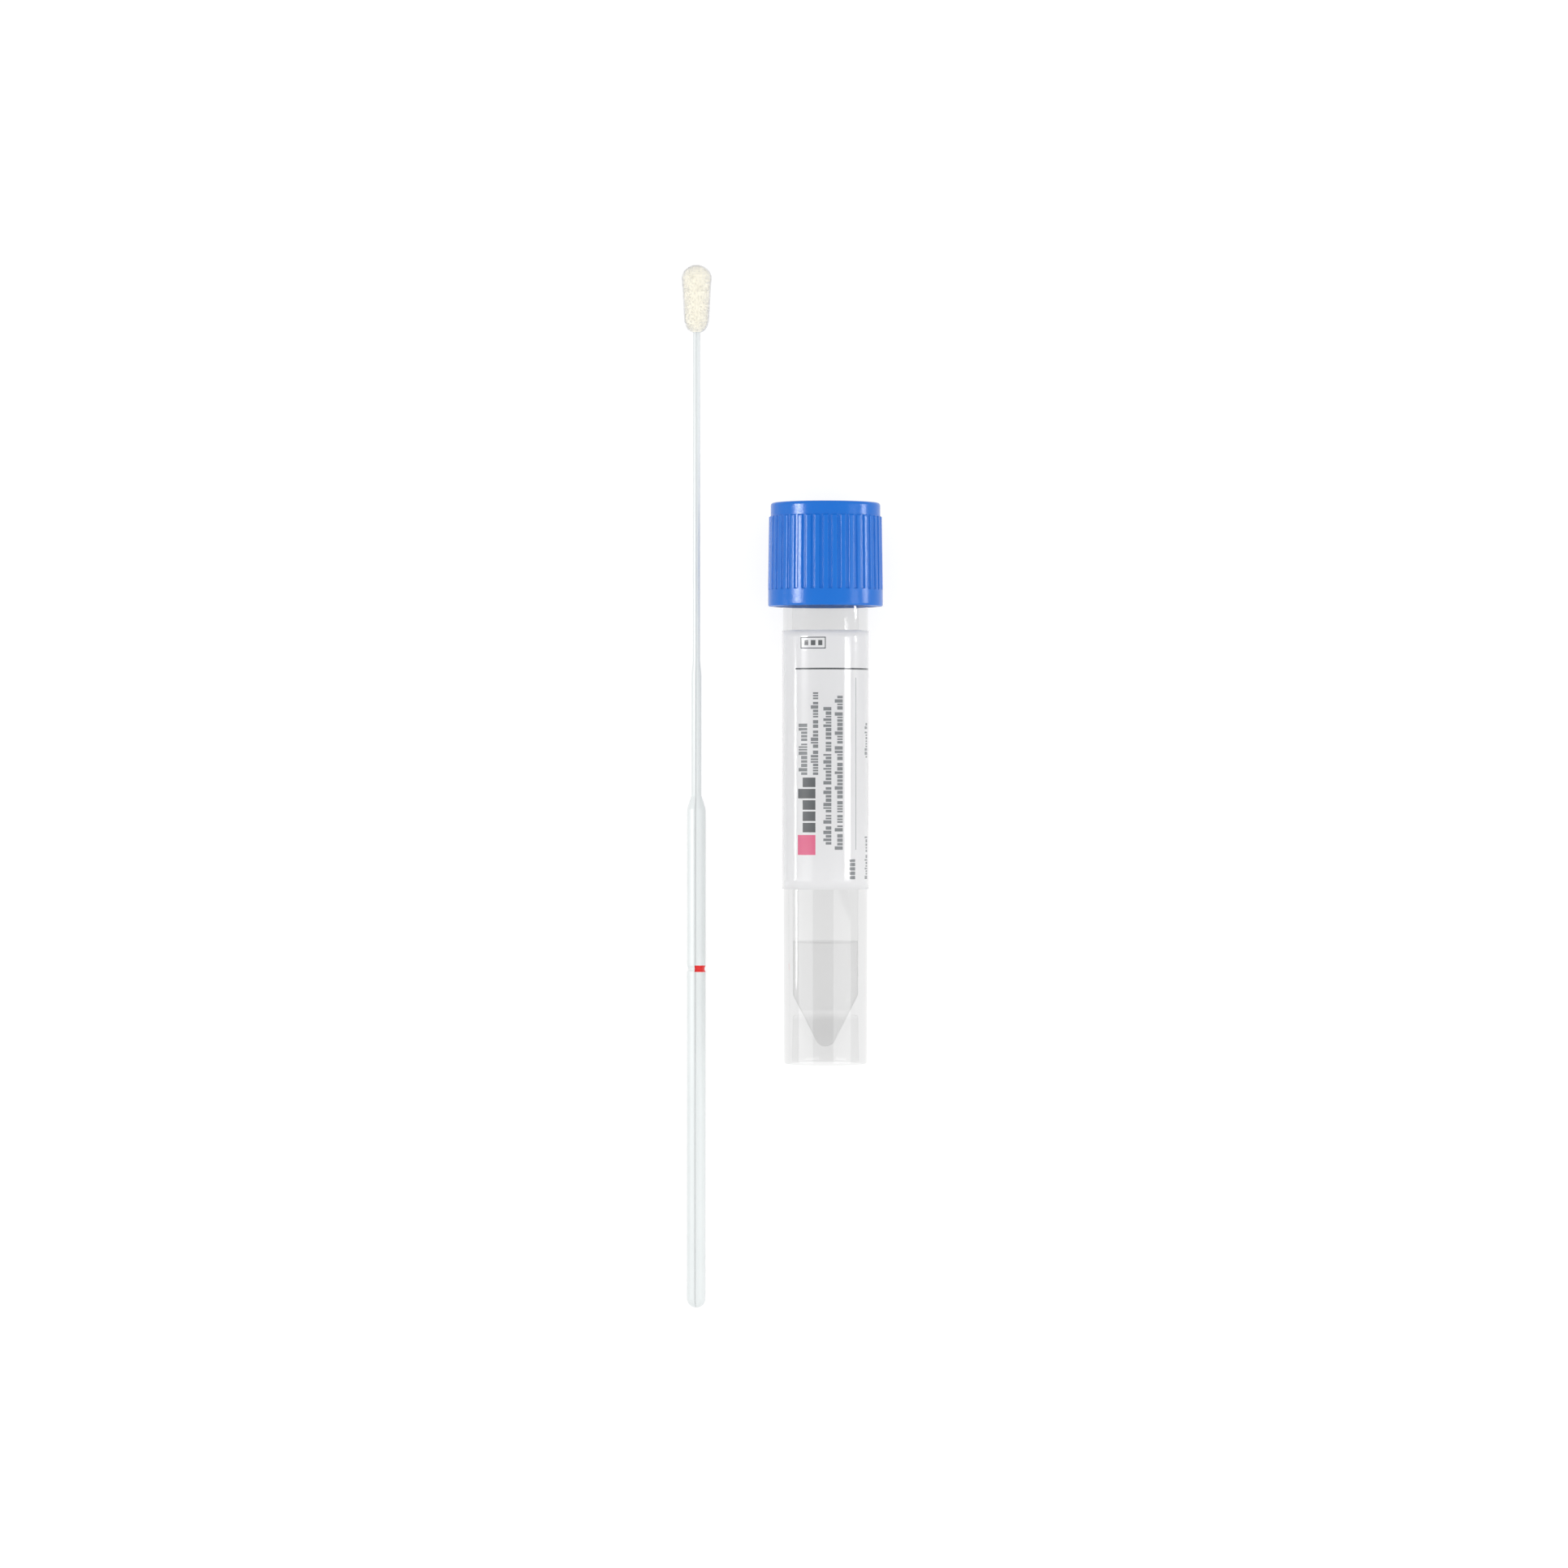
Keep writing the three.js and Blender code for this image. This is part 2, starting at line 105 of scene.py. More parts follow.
HANDLE_RADIUS, SWAB_LENGTH = 1.35, 152.0
BELLY_RADIUS, DOME_LENGTH = 2.28, 2.1
swab_lean = math.atan2(BELLY_RADIUS - HANDLE_RADIUS, SWAB_LENGTH - DOME_LENGTH - HANDLE_RADIUS)
swab_axis = ALONG * math.cos(swab_lean) + UP * math.sin(swab_lean)
handle_end = np.array(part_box("swab_stick")[0]) / MM
swab_base = [middle("swab_stick")[0], handle_end[1],
             HANDLE_RADIUS * (math.cos(swab_lean) - math.sin(swab_lean))]
lay_swab = laying_down(swab_base, swab_axis)
print("tube base", tube_base.round(3), "axis", tube_axis.round(5))
print("swab base", np.round(swab_base, 3), "lean", round(math.degrees(swab_lean), 3), "degrees")

# %% [markdown]
# ## Turned surfaces
# Almost everything here was moulded in a round cavity, so its shape is an outline turned about an
# axis. An outline is a list of corners, each with a reach: how far along both sides its rounding
# begins. No moulded edge is truly sharp, so a corner with no reach of its own still gets a very
# small one. Two more points close to each rounding keep the long faces beside it flat in shading.

# %% An outline with rounded corners
LEAST_REACH = 0.05
SUPPORT = 1.25  # a straight side is cut at this many reaches from its corner
CLOSE = 0.01  # lengths in millimetres that differ by less than this count as equal


def outline(corners, steps=6):
    """Points of an outline in (radius, height). At a corner the line follows
    (1-t)^2 * start + 2t(1-t) * corner + t^2 * end, from one reach before it to one reach after."""
    line = [np.array(corners[0][:2], float)]
    t = np.linspace(0, 1, steps + 1)[:, None]
    for before, corner, after in zip(corners, corners[1:], corners[2:]):
        here = np.array(corner[:2], float)
        reach = corner[2] if len(corner) > 2 else LEAST_REACH
        back, on = (np.array(side[:2]) - here for side in (before, after))
        back, on = back / np.linalg.norm(back), on / np.linalg.norm(on)
        start, end = here + reach * back, here + reach * on
        line.append(here + SUPPORT * reach * back)
        line.extend((1 - t) ** 2 * start + 2 * t * (1 - t) * here + t ** 2 * end)
        line.append(here + SUPPORT * reach * on)
    line.append(np.array(corners[-1][:2], float))
    return np.array(line)


def full_turn(columns):
    """Equal angles round one turn."""
    return np.arange(columns) * 2 * np.pi / columns


def turned(radius, height, angle):
    """Points and faces of a turned surface: x = radius cos(angle), y = radius sin(angle),
    z = height. Rows follow the outline, which runs up the outside, and columns run round.
    A row with no radius is a single point. A face of three corners repeats its last one."""
    radius, height, angle = np.broadcast_arrays(radius, height, angle)
    points = np.stack([radius * np.cos(angle), radius * np.sin(angle), height], -1)
    number = np.arange(radius.size).reshape(radius.shape)
    pole = (radius == 0).all(1)
    number[pole] = number[pole][:, :1]
    beside = np.roll(number, -1, 1)
    faces = np.stack([number[:-1], beside[:-1], beside[1:], number[1:]], -1).reshape(-1, 4)
    starts_at_pole = faces[:, 0] == faces[:, 1]
    faces[starts_at_pole] = np.roll(faces[starts_at_pole], -2, 1)
    return points.reshape(-1, 3), faces


def together(*surfaces):
    """Several (points, faces) as one."""
    first = np.cumsum([0] + [len(points) for points, _ in surfaces[:-1]])
    return (np.concatenate([points for points, _ in surfaces]),
            np.concatenate([faces + n for (_, faces), n in zip(surfaces, first)]))


# %% A piece from points and faces
def make_piece(name, surface, lay, body, material):
    """Puts a surface into a new mesh, laid down in the frame, and gives it its body and its
    material. Points that no face uses are left out."""
    points, faces = surface
    three = faces[:, 2] == faces[:, 3]
    kept = np.ones(faces.shape, bool)
    kept[three, 3] = False
    used, corners = np.unique(faces[kept], return_inverse=True)
    start = np.cumsum(kept.sum(1)) - kept.sum(1)

    mesh = bpy.data.meshes.new(name)
    mesh.vertices.add(len(used))
    mesh.vertices.foreach_set("co", lay(points[used]).astype(np.float32).ravel())
    mesh.loops.add(len(corners))
    mesh.loops.foreach_set("vertex_index", corners.astype(np.int32))
    mesh.polygons.add(len(faces))
    mesh.polygons.foreach_set("loop_start", start.astype(np.int32))
    mesh.polygons.foreach_set("use_smooth", np.ones(len(faces), bool))
    mesh.update(calc_edges=True)
    mesh.validate()
    mesh.materials.append(material)

    piece = bpy.data.objects.new(name, mesh)
    bpy.context.scene.collection.objects.link(piece)
    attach(piece, body)
    print(f"{name}: {int(kept.sum() - 2 * len(faces))} triangles")
    return piece


def face_values(piece, name, rows, columns):
    """Writes an attribute on a turned piece's faces, with one value for each row of faces."""
    attribute = piece.data.attributes.new(name, "FLOAT", "FACE")
    attribute.data.foreach_set("value", np.repeat(rows, columns).astype(np.float32))


def compare(piece, node):
    """Prints by how much a piece's box differs from its node's, in millimetres."""
    co = np.empty(len(piece.data.vertices) * 3, np.float32)
    piece.data.vertices.foreach_get("co", co)
    co = co.reshape(-1, 3)
    low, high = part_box(node)
    off = np.concatenate([co.min(0) - low, co.max(0) - high]) / MM
    print(f"{piece.name} against {node}, low and high corner:", off.round(3))


# %% [markdown]
# ## Colours and nodes
# Colours are written as the sRGB hex values that a colour picker shows, and Blender wants them
# linear, so one function turns them. Every node in this scene is added by one other function, which
# takes the node's own settings and what each of its sockets gets: a plain value or a link.

# %% Helpers for materials
def linear(hex_colour):
    """An sRGB hex colour as linear red, green, blue and alpha."""
    srgb = np.array([int(hex_colour[i:i + 2], 16) for i in (1, 3, 5)]) / 255
    rgb = np.where(srgb <= 0.04045, srgb / 12.92, ((srgb + 0.055) / 1.055) ** 2.4)
    return (*rgb.tolist(), 1.0)


def add(tree, kind, sockets=None, **settings):
    """Adds one node: its settings, then for each socket a value or the output that feeds it."""
    node = tree.nodes.new(kind)
    for name, value in settings.items():
        setattr(node, name, value)
    for socket, value in (sockets or {}).items():
        if isinstance(value, bpy.types.NodeSocket):
            tree.links.new(value, node.inputs[socket])
        else:
            node.inputs[socket].default_value = value
    return node


def new_material(name):
    """An empty material and its node tree."""
    material = bpy.data.materials.new(name)
    material.use_nodes = True
    material.node_tree.nodes.clear()
    return material, material.node_tree


def show(tree, shader):
    """Sends a shader to the material's surface."""
    add(tree, "ShaderNodeOutputMaterial", {"Surface": shader})


# %% [markdown]
# ## The screw thread
# Tube and cap hold each other by a coarse thread: one ridge that climbs 3 mm a turn. Its section is
# a trapezoid, and at both ends it fades into the wall, so that it starts cleanly when the cap is
# put on. A ridge on a turned wall only changes the wall's radius, so it can be written as a
# function of angle and height and added to an ordinary turned surface. The wall and its ridge are
# then one skin, which matters in clear plastic, where a hidden overlap would show.

# %% The ridge as a height field
THREAD_PITCH = 3.0
THREAD_HEIGHT = 0.66
THREAD_ROOT, THREAD_CREST = 1.5, 0.6  # widths
THREAD_RUN_OUT = math.radians(30)
THREAD_ROOTING, THREAD_END_SHARE = 0.2, 0.1  # depth in the wall, share of the height at its ends
ROW_STEP = 0.085  # rows this close draw the ridge's flanks
ROWS_BELOW = 0.9  # they begin this far below the ridge's start; a ROWS_ABOVE says where they end


def smooth_step(x):
    """3x^2 - 2x^3, held at 0 and 1 outside that range."""
    x = np.clip(x, 0, 1)
    return x * x * (3 - 2 * x)


def ridge(angle, height, start_angle, start_height, turns):
    """How far a screw ridge stands out of its wall: at each angle the ridge has climbed
    pitch * angle / turn, and across it the height falls off along straight flanks."""
    flank = (THREAD_ROOT - THREAD_CREST) / 2 / THREAD_HEIGHT
    sweep = turns * 2 * np.pi
    out = np.zeros(np.broadcast(angle, height).shape)
    for lap in range(math.ceil(turns) + 1):
        along = (angle - start_angle) % (2 * np.pi) + lap * 2 * np.pi
        centre = start_height + THREAD_PITCH * along / (2 * np.pi)
        rise = np.clip((THREAD_ROOT / 2 - abs(height - centre)) / flank, 0, THREAD_HEIGHT)
        fade = smooth_step(np.minimum(along, sweep - along) / THREAD_RUN_OUT)
        share = THREAD_END_SHARE + (1 - THREAD_END_SHARE) * fade
        standing = np.clip(share * (rise + THREAD_ROOTING) - THREAD_ROOTING, 0, None)
        out = np.maximum(out, np.where((along < sweep) & (rise > 0), standing, 0))
    return out


# %% [markdown]
# ## Clear polypropylene
# The tube is injection moulded in clear polypropylene. Both walls of a thin moulding bend light by
# the same amount in opposite directions, so what shows through is hardly displaced, and the eye
# reads the tube by its slightly grey body, its surface gloss and the bright lines at its edges.
# So the light that goes through isn't bent, which also keeps it from running on inside the wall
# until it is lost, and the gloss comes from a clear coat with the plastic's real IOR of 1.49. The
# coat works only where light arrives from the air.
#
# The tint of a wall a millimetre thick is shared between its two faces, and an attribute of the
# mesh holds each face's share. Most of it is outside, so that the wall shows beside the bore as
# clearly as in front of it. Light crosses from plastic to liquid almost without loss, so the cone's
# wall, which is wet on one side, is hardly tinted. The liquid bends light about as the plastic
# does, so it has a tint too and isn't bent, and only its open top has the gloss of water.

# %% The tube's plastic and the liquid's finish
plastic, tree = new_material("clear_polypropylene")
side = add(tree, "ShaderNodeNewGeometry")
from_air = add(tree, "ShaderNodeMath", {0: 1.0, 1: side.outputs["Backfacing"]},
               operation="SUBTRACT")
tint = add(tree, "ShaderNodeAttribute", attribute_name="tint")
body = add(tree, "ShaderNodeBsdfPrincipled", {
    "Base Color": tint.outputs["Color"], "Roughness": 0.02, "IOR": 1.0, "Transmission Weight": 1.0,
    "Coat Weight": from_air.outputs[0], "Coat IOR": 1.49, "Coat Roughness": 0.04})
show(tree, body.outputs["BSDF"])

saline, tree = new_material("liquid_medium")
open_top = add(tree, "ShaderNodeAttribute", attribute_name="open_top")
body = add(tree, "ShaderNodeBsdfPrincipled", {
    "Base Color": linear("#F6F6F6"), "Roughness": 0.0, "IOR": 1.0, "Transmission Weight": 1.0,
    "Coat Weight": open_top.outputs["Fac"], "Coat IOR": 1.33, "Coat Roughness": 0.02})
show(tree, body.outputs["BSDF"])

# %% [markdown]
# ## The tube
# One moulding: a straight body that widens by a fifth of a millimetre towards the neck, which is
# the draft that let it leave the mould, a cone for a floor, and an open skirt below the cone so
# that the tube can stand. The outline runs from the blunt outer end of the cone, down round the
# skirt, up the outside, over the rim and down the bore to the cone's round tip.

# %% Make the tube
TUBE_HEIGHT, TUBE_RADIUS, TUBE_FLARE = 78.65, 6.0, 0.19
BORE_RADIUS, BORE_DRAFT = 4.7, 0.1
CONE_ANGLE = math.radians(27)
CONE_TIP_RADIUS, CONE_TIP_HEIGHT = 1.5, 2.5
CONE_WALL, GATE_HEIGHT = 1.0, 1.1
SKIRT_RADIUS, SKIRT_DRAFT, SKIRT_REACH = 4.7, 0.12, 1.6
TUBE_EDGE = 0.3
FLARE_END = 66.1  # the cap's lower edge
NECK_RADIUS = TUBE_RADIUS + TUBE_FLARE
TUBE_THREAD_START, TUBE_THREAD_TURNS, TUBE_ROWS_ABOVE = 70.9, 2.0, 6.9
CAVITY_REACH = 0.15
ROUND_COLUMNS = 288
OUTSIDE_TINT, INSIDE_TINT, CONE_TINT = (linear(grey)[0]
                                        for grey in ("#E7E7E7", "#F9F9F9", "#FEFEFE"))


def cone(inset, end_radius):
    """A cone's round tip and side, set in by a distance, from the axis out to a radius: the tip is
    an arc about its centre until the side leaves it at a tangent."""
    centre, radius = CONE_TIP_HEIGHT + CONE_TIP_RADIUS, CONE_TIP_RADIUS - inset
    around = np.linspace(-np.pi / 2, -CONE_ANGLE, 14)
    tip = np.stack([radius * np.cos(around), centre + radius * np.sin(around)], 1)
    tip[0, 0] = 0
    end_height = tip[-1, 1] + (end_radius - tip[-1, 0]) / math.tan(CONE_ANGLE)
    return tip, end_height


cavity_tip, cavity_end = cone(0, BORE_RADIUS)
outer_tip, outer_end = cone(-CONE_WALL, SKIRT_RADIUS)
gate_radius = outer_tip[-1, 0] - (outer_tip[-1, 1] - GATE_HEIGHT) * math.tan(CONE_ANGLE)
tube_line = outline([
    [0, GATE_HEIGHT],
    [gate_radius, GATE_HEIGHT],
    [SKIRT_RADIUS, outer_end, SKIRT_REACH],
    [SKIRT_RADIUS + SKIRT_DRAFT, 0, TUBE_EDGE],
    [TUBE_RADIUS, 0, TUBE_EDGE],
    [TUBE_RADIUS + TUBE_FLARE, FLARE_END],
    [NECK_RADIUS, TUBE_HEIGHT, TUBE_EDGE],
    [BORE_RADIUS + BORE_DRAFT, TUBE_HEIGHT, TUBE_EDGE],
    [BORE_RADIUS, cavity_end, CAVITY_REACH],
    [cavity_tip[-1, 0] + (outer_end - cavity_tip[-1, 1]) * math.tan(CONE_ANGLE), outer_end],
    cavity_tip[-1],
])
tube_line = np.concatenate([tube_line[:-1], cavity_tip[::-1]])
thread_low, thread_high = TUBE_THREAD_START - ROWS_BELOW, TUBE_THREAD_START + TUBE_ROWS_ABOVE
neck_row = int(np.argmax(tube_line[:, 1] > thread_high)) - 1
neck_rows = np.linspace(thread_low, thread_high, round((thread_high - thread_low) / ROW_STEP))
tube_line = np.insert(tube_line, neck_row + 1,
                      np.stack([np.full_like(neck_rows, NECK_RADIUS), neck_rows], 1), 0)

angle = full_turn(ROUND_COLUMNS)[None, :]
radius, height = tube_line[:, :1], tube_line[:, 1:]
on_outside = (radius > NECK_RADIUS - CLOSE) & (height > FLARE_END)
raised = ridge(angle, height, 0, TUBE_THREAD_START, TUBE_THREAD_TURNS) * on_outside
tube = make_piece("clear_tube", turned(radius + raised, height, angle), lay_tube,
                  "tube", plastic)
row_radius, row_height = ((tube_line[:-1] + tube_line[1:]) / 2).T
on_cone = (row_radius < SKIRT_RADIUS) & (row_height < outer_end)
on_inside = row_radius < (BORE_RADIUS + TUBE_RADIUS) / 2
tint = np.select([on_cone, on_inside], [CONE_TINT, INSIDE_TINT], OUTSIDE_TINT)
face_values(tube, "tint", tint, ROUND_COLUMNS)
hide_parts("tube")
compare(tube, "tube")

# %% [markdown]
# ## The liquid medium
# About 0.7 millilitres of buffered saline fills the cone. Water climbs a plastic wall a
# little, so the surface has a small meniscus at its rim. The liquid stands a hair's breadth off the
# wall, because two skins in exactly the same place would flicker. Its level is kept square to the
# tube's axis, as it is when the tube stands.

# %% Make the liquid
MEDIUM_LEVEL, MEDIUM_GAP = 17.4, 0.03
MENISCUS_RISE, MENISCUS_WIDTH, MENISCUS_CURL = 0.35, 1.2, 0.3

wall = (BORE_RADIUS + BORE_DRAFT * (MEDIUM_LEVEL - cavity_end) / (TUBE_HEIGHT - cavity_end)
        - MEDIUM_GAP)
liquid_tip, liquid_end = cone(MEDIUM_GAP, BORE_RADIUS - MEDIUM_GAP)
t = np.linspace(0, 1, 9)[:, None]
rim, bend, flat = np.array([[wall, MEDIUM_LEVEL + MENISCUS_RISE],
                            [wall - MENISCUS_CURL, MEDIUM_LEVEL],
                            [wall - MENISCUS_WIDTH, MEDIUM_LEVEL]])
liquid_line = np.concatenate([
    liquid_tip, [[BORE_RADIUS - MEDIUM_GAP, liquid_end]],
    (1 - t) ** 2 * rim + 2 * t * (1 - t) * bend + t ** 2 * flat, [[0, MEDIUM_LEVEL]]])
liquid = make_piece("liquid", turned(liquid_line[:, :1], liquid_line[:, 1:], angle), lay_tube,
                    "tube", saline)
surface_row = len(liquid_tip) + 1
face_values(liquid, "open_top", np.arange(len(liquid_line) - 1) >= surface_row, ROUND_COLUMNS)
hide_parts("liquid_medium")
compare(liquid, "liquid_medium")

# %% [markdown]
# ## The label and its print
# A strip of white film is wrapped once round the body, and its end is stuck down on its start, at
# the back. The print is plain: an empty outlined box, a rule, lines to write on, and bars and small
# blocks where a maker's words would be. It could be an image, but this scene uses none. Instead the
# strip's grid is cut exactly where each printed shape begins and ends, so every face is wholly ink
# or wholly film, and a colour attribute on the faces' corners gives print with clean edges.
# Print places are written as distances: across from the line that faces up, and up from the base.

# %% What is printed: rectangles (left, right, low, high, ink)
FILM, GREY, DARK, PALE, ROSE = "#E5E5E7", "#7C7F82", "#525558", "#A6A9AC", "#DC5C82"
LABEL_LOW, LABEL_HIGH = 25.3, 62.6
RASTER = 0.125  # letters begin and end on this grid, so that few cuts serve many lines
TALL_SHARE, RISER_SHARE, LEAST_WORD = 0.33, 0.3, 1.0  # tall letters, their riser, room for a word
random = np.random.default_rng(7)


def text_line(left, right, low, high, ink):
    """A line of words as blocks, read along the tube: each letter is two to four steps of the
    raster wide, a third of them are tall, and each word has two to nine letters."""
    body = left + RISER_SHARE * (right - left)
    blocks, at = [], low
    while at < high - LEAST_WORD:
        for width in RASTER * random.integers(2, 5, random.integers(2, 10)):
            if at + width < high:
                start = left if random.random() < TALL_SHARE else body
                blocks.append((start, right, at, at + width, ink))
            at += width + RASTER
        at += 2 * RASTER
    return blocks


def frame_box(left, right, low, high, line, ink):
    """A hollow rectangle as four strips."""
    return [(left, right, low, low + line, ink), (left, right, high - line, high, ink),
            (left, left + line, low + line, high - line, ink),
            (right - line, right, low + line, high - line, ink)]


printed = [
    *frame_box(-3.85, 0.0, 59.9, 61.6, 0.14, DARK),
    (-3.2, -2.6, 60.375, 61.125, DARK), (-2.2, -1.5, 60.375, 61.125, DARK),
    (-1.1, -0.5, 60.375, 61.125, DARK),
    (-4.8, 8.6, 56.9, 57.15, DARK),
    (4.72, 4.86, 31.0, 55.75, PALE), (8.1, 8.22, 34.5, 43.5, PALE),
    (-4.35, -1.5, 30.25, 33.125, ROSE),
    *[(left, -1.5, at, at + 1.375, DARK) for left, at in
      ((-3.5, 33.5), (-3.5, 35.125), (-3.5, 36.75), (-4.3, 38.375), (-3.5, 40.0))],
    *text_line(-4.2, -2.75, 41.75, 50.25, GREY),
    *text_line(-2.2, -1.1, 41.75, 54.125, GREY),
    *text_line(-0.35, 0.8, 31.75, 52.5, GREY),
    *text_line(1.3, 2.5, 31.0, 53.25, GREY),
    *text_line(3.6, 4.65, 26.75, 30.25, GREY),
    *text_line(7.0, 8.0, 44.25, 49.625, GREY),
    *text_line(7.0, 8.0, 26.75, 33.75, GREY),
]
print(len(printed), "printed shapes")

# %% Make the label
LABEL_RADIUS, LABEL_THICKNESS, LABEL_GLUE = 6.2, 0.07, 0.02
LABEL_LAP, LABEL_RAMP = 2.2, 0.8
STRIP_TURN, STRIP_RISE = 0.0625, 1.5  # the grid's widest steps, in radians and millimetres
lap_angle, ramp_angle = LABEL_LAP / LABEL_RADIUS, LABEL_RAMP / LABEL_RADIUS
start_angle = np.pi / 2 - lap_angle / 2
strip_end = 2 * np.pi + lap_angle
ramp_start = 2 * np.pi - 2 * ramp_angle
facing_up = 1.5 * np.pi - start_angle  # how far along the strip the line that faces up is
OUTER_RADIUS = LABEL_RADIUS + LABEL_THICKNESS


def cuts(edges, low, high, step):
    """Where a grid is cut: at every edge that lies inside, and evenly between where they are far
    apart. Edges closer than a hundredth of a millimetre count as one."""
    edges = np.unique(np.round(np.clip([low, high, *edges], low, high), 3))
    parts = np.maximum(1, np.ceil(np.diff(edges) / step)).astype(int)
    share = np.concatenate([np.arange(n) / n for n in parts])
    return np.append(np.repeat(edges[:-1], parts) + share * np.repeat(np.diff(edges), parts), high)


ink_left, ink_right, ink_low, ink_high = np.array([shape[:4] for shape in printed]).T
around = cuts(np.concatenate([ink_left, ink_right]) / OUTER_RADIUS + facing_up,
              0, strip_end, STRIP_TURN)
ramp = np.linspace(ramp_start, ramp_start + ramp_angle, 9)
around = np.unique(np.concatenate([around, ramp]))
rises = cuts(np.concatenate([ink_low, ink_high]), LABEL_LOW, LABEL_HIGH, STRIP_RISE)
lift = (LABEL_THICKNESS + LABEL_GLUE) * smooth_step((around - ramp_start) / ramp_angle)


def strip_grid(radius):
    """Points at a radius plus the lift of the lap, in rows of equal height."""
    r, a, z = np.broadcast_arrays((radius + lift)[None, :], (start_angle + around)[None, :],
                                  rises[:, None])
    return np.stack([r * np.cos(a), r * np.sin(a), z], -1)


rows, columns = len(rises), len(around)
number = np.arange(rows * columns).reshape(rows, columns)
outer = np.stack([number[:-1, :-1], number[:-1, 1:], number[1:, 1:], number[1:, :-1]], -1)
inner = outer[..., ::-1] + rows * columns
border = np.concatenate([number[0], number[1:, -1], number[-1, -2::-1], number[-2:0:-1, 0]])
onward = np.roll(border, -1)
edge = np.stack([onward, border, border + rows * columns, onward + rows * columns], -1)
label_surface = (np.concatenate([strip_grid(OUTER_RADIUS).reshape(-1, 3),
                                 strip_grid(LABEL_RADIUS).reshape(-1, 3)]),
                 np.concatenate([outer.reshape(-1, 4), inner.reshape(-1, 4), edge]))

across = ((around[:-1] + around[1:]) / 2 - facing_up) * OUTER_RADIUS
level = (rises[:-1] + rises[1:]) / 2
face_colour = np.tile(linear(FILM), (len(label_surface[1]), 1))
outer_colour = face_colour[:outer.shape[0] * outer.shape[1]].reshape(*outer.shape[:2], 4)
for left, right, low, high, ink in printed:
    inside = np.outer((level > low) & (level < high), (across > left) & (across < right))
    outer_colour[inside] = linear(ink)

# %% [markdown]
# ### Printed polypropylene film
# The film is white and thin enough for a little light to spread inside it, which softens the edges
# of the print. A clear gloss lies over ink and film alike. A machine wrapped the film onto a round
# body, so its surface isn't perfectly even, and the edges of a highlight on it are ragged. Noise
# with a grain of a third of a millimetre does that through a faint bump.

# %% The film's finish
film, tree = new_material("printed_polypropylene_film")
place = add(tree, "ShaderNodeTexCoord")
ink = add(tree, "ShaderNodeAttribute", attribute_name="print")
grain = add(tree, "ShaderNodeTexNoise", {
    "Vector": place.outputs["Object"], "Scale": 1 / (0.35 * MM), "Detail": 2.0})
relief = add(tree, "ShaderNodeBump", {
    "Height": grain.outputs["Fac"], "Strength": 0.25, "Distance": 0.02 * MM})
body = add(tree, "ShaderNodeBsdfPrincipled", {
    "Base Color": ink.outputs["Color"], "Roughness": 0.35, "IOR": 1.5,
    "Specular IOR Level": 0.15, "Subsurface Weight": 0.5, "Subsurface Radius": (1.0, 1.0, 1.0),
    "Subsurface Scale": 0.4 * MM,
    "Coat Weight": 1.0, "Coat IOR": 1.5, "Coat Roughness": 0.08,
    "Normal": relief.outputs["Normal"], "Coat Normal": relief.outputs["Normal"]})
show(tree, body.outputs["BSDF"])

label = make_piece("label_film", label_surface, lay_tube, "tube", film)
attribute = label.data.color_attributes.new("print", "FLOAT_COLOR", "CORNER")
attribute.data.foreach_set("color", np.repeat(face_colour, 4, 0).astype(np.float32).ravel())
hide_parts("label")
compare(label, "label")

# %% [markdown]
# ## The screw cap
# The cap is one moulding in blue polypropylene. Outside, forty shallow grooves leave ribs for the
# fingers between a plain band below and a narrower one above. Inside are the thread that pulls on
# the neck's, and in the middle a short ring that grips the swab's broken-off stick. The outside
# needs columns close together at each groove's edges, and the inside needs close rows for its
# thread, so the two are made as separate turned surfaces. The inside has every second column, and
# a strip of triangles down the mouth's chamfer sews them together.

# %% The cap's outside
CAP_LOW, CAP_TOP, CAP_CEILING = 66.1, 81.1, 79.85
CAP_RADIUS, CAP_DRAFT, CAP_EDGE, CAP_TOP_EDGE = 8.3, 0.145, 0.3, 0.45
RIB_COUNT, RIB_HEIGHT, RIB_LOW, RIB_HIGH = 40, 0.23, 68.5, 79.05
GROOVE_WIDTH, GROOVE_FLOOR, GROOVE_DEPTH = 0.62, 0.36, 0.21
GROOVE_END = 0.06  # the height over which a groove's lower end comes up to the band
# Columns across one groove, in millimetres from its middle: close together at each edge.
GROOVE_COLUMNS = np.array([0.11, 0.165, 0.195, 0.25, 0.295, 0.33, 0.46])
RIB_MIDDLE_ROWS = 72.0, 75.5
CREST_RADIUS = CAP_RADIUS - CAP_DRAFT
UPPER_RADIUS = CREST_RADIUS - RIB_HEIGHT
CAP_BORE, MOUTH_CHAMFER = 7.0, 0.45

outside = outline([
    [CAP_BORE + MOUTH_CHAMFER, CAP_LOW],
    [CAP_RADIUS, CAP_LOW, CAP_EDGE],
    [CAP_RADIUS, RIB_LOW],
    [CREST_RADIUS, RIB_HIGH],
    [UPPER_RADIUS, RIB_HIGH + RIB_HEIGHT / 2],
    [UPPER_RADIUS, CAP_TOP, CAP_TOP_EDGE],
    [0, CAP_TOP],
])
end_rows = RIB_LOW + GROOVE_END * np.linspace(0, 1, 5)
rib_rows = np.concatenate([end_rows, [RIB_LOW + 2 * GROOVE_END, *RIB_MIDDLE_ROWS]])
rib_rows = np.stack([CAP_RADIUS - CAP_DRAFT * (rib_rows - RIB_LOW) / (RIB_HIGH - RIB_LOW),
                     rib_rows], 1)
at_rib_low = abs(outside[:, 1] - RIB_LOW) < 2 * LEAST_REACH  # the corner that these rows replace
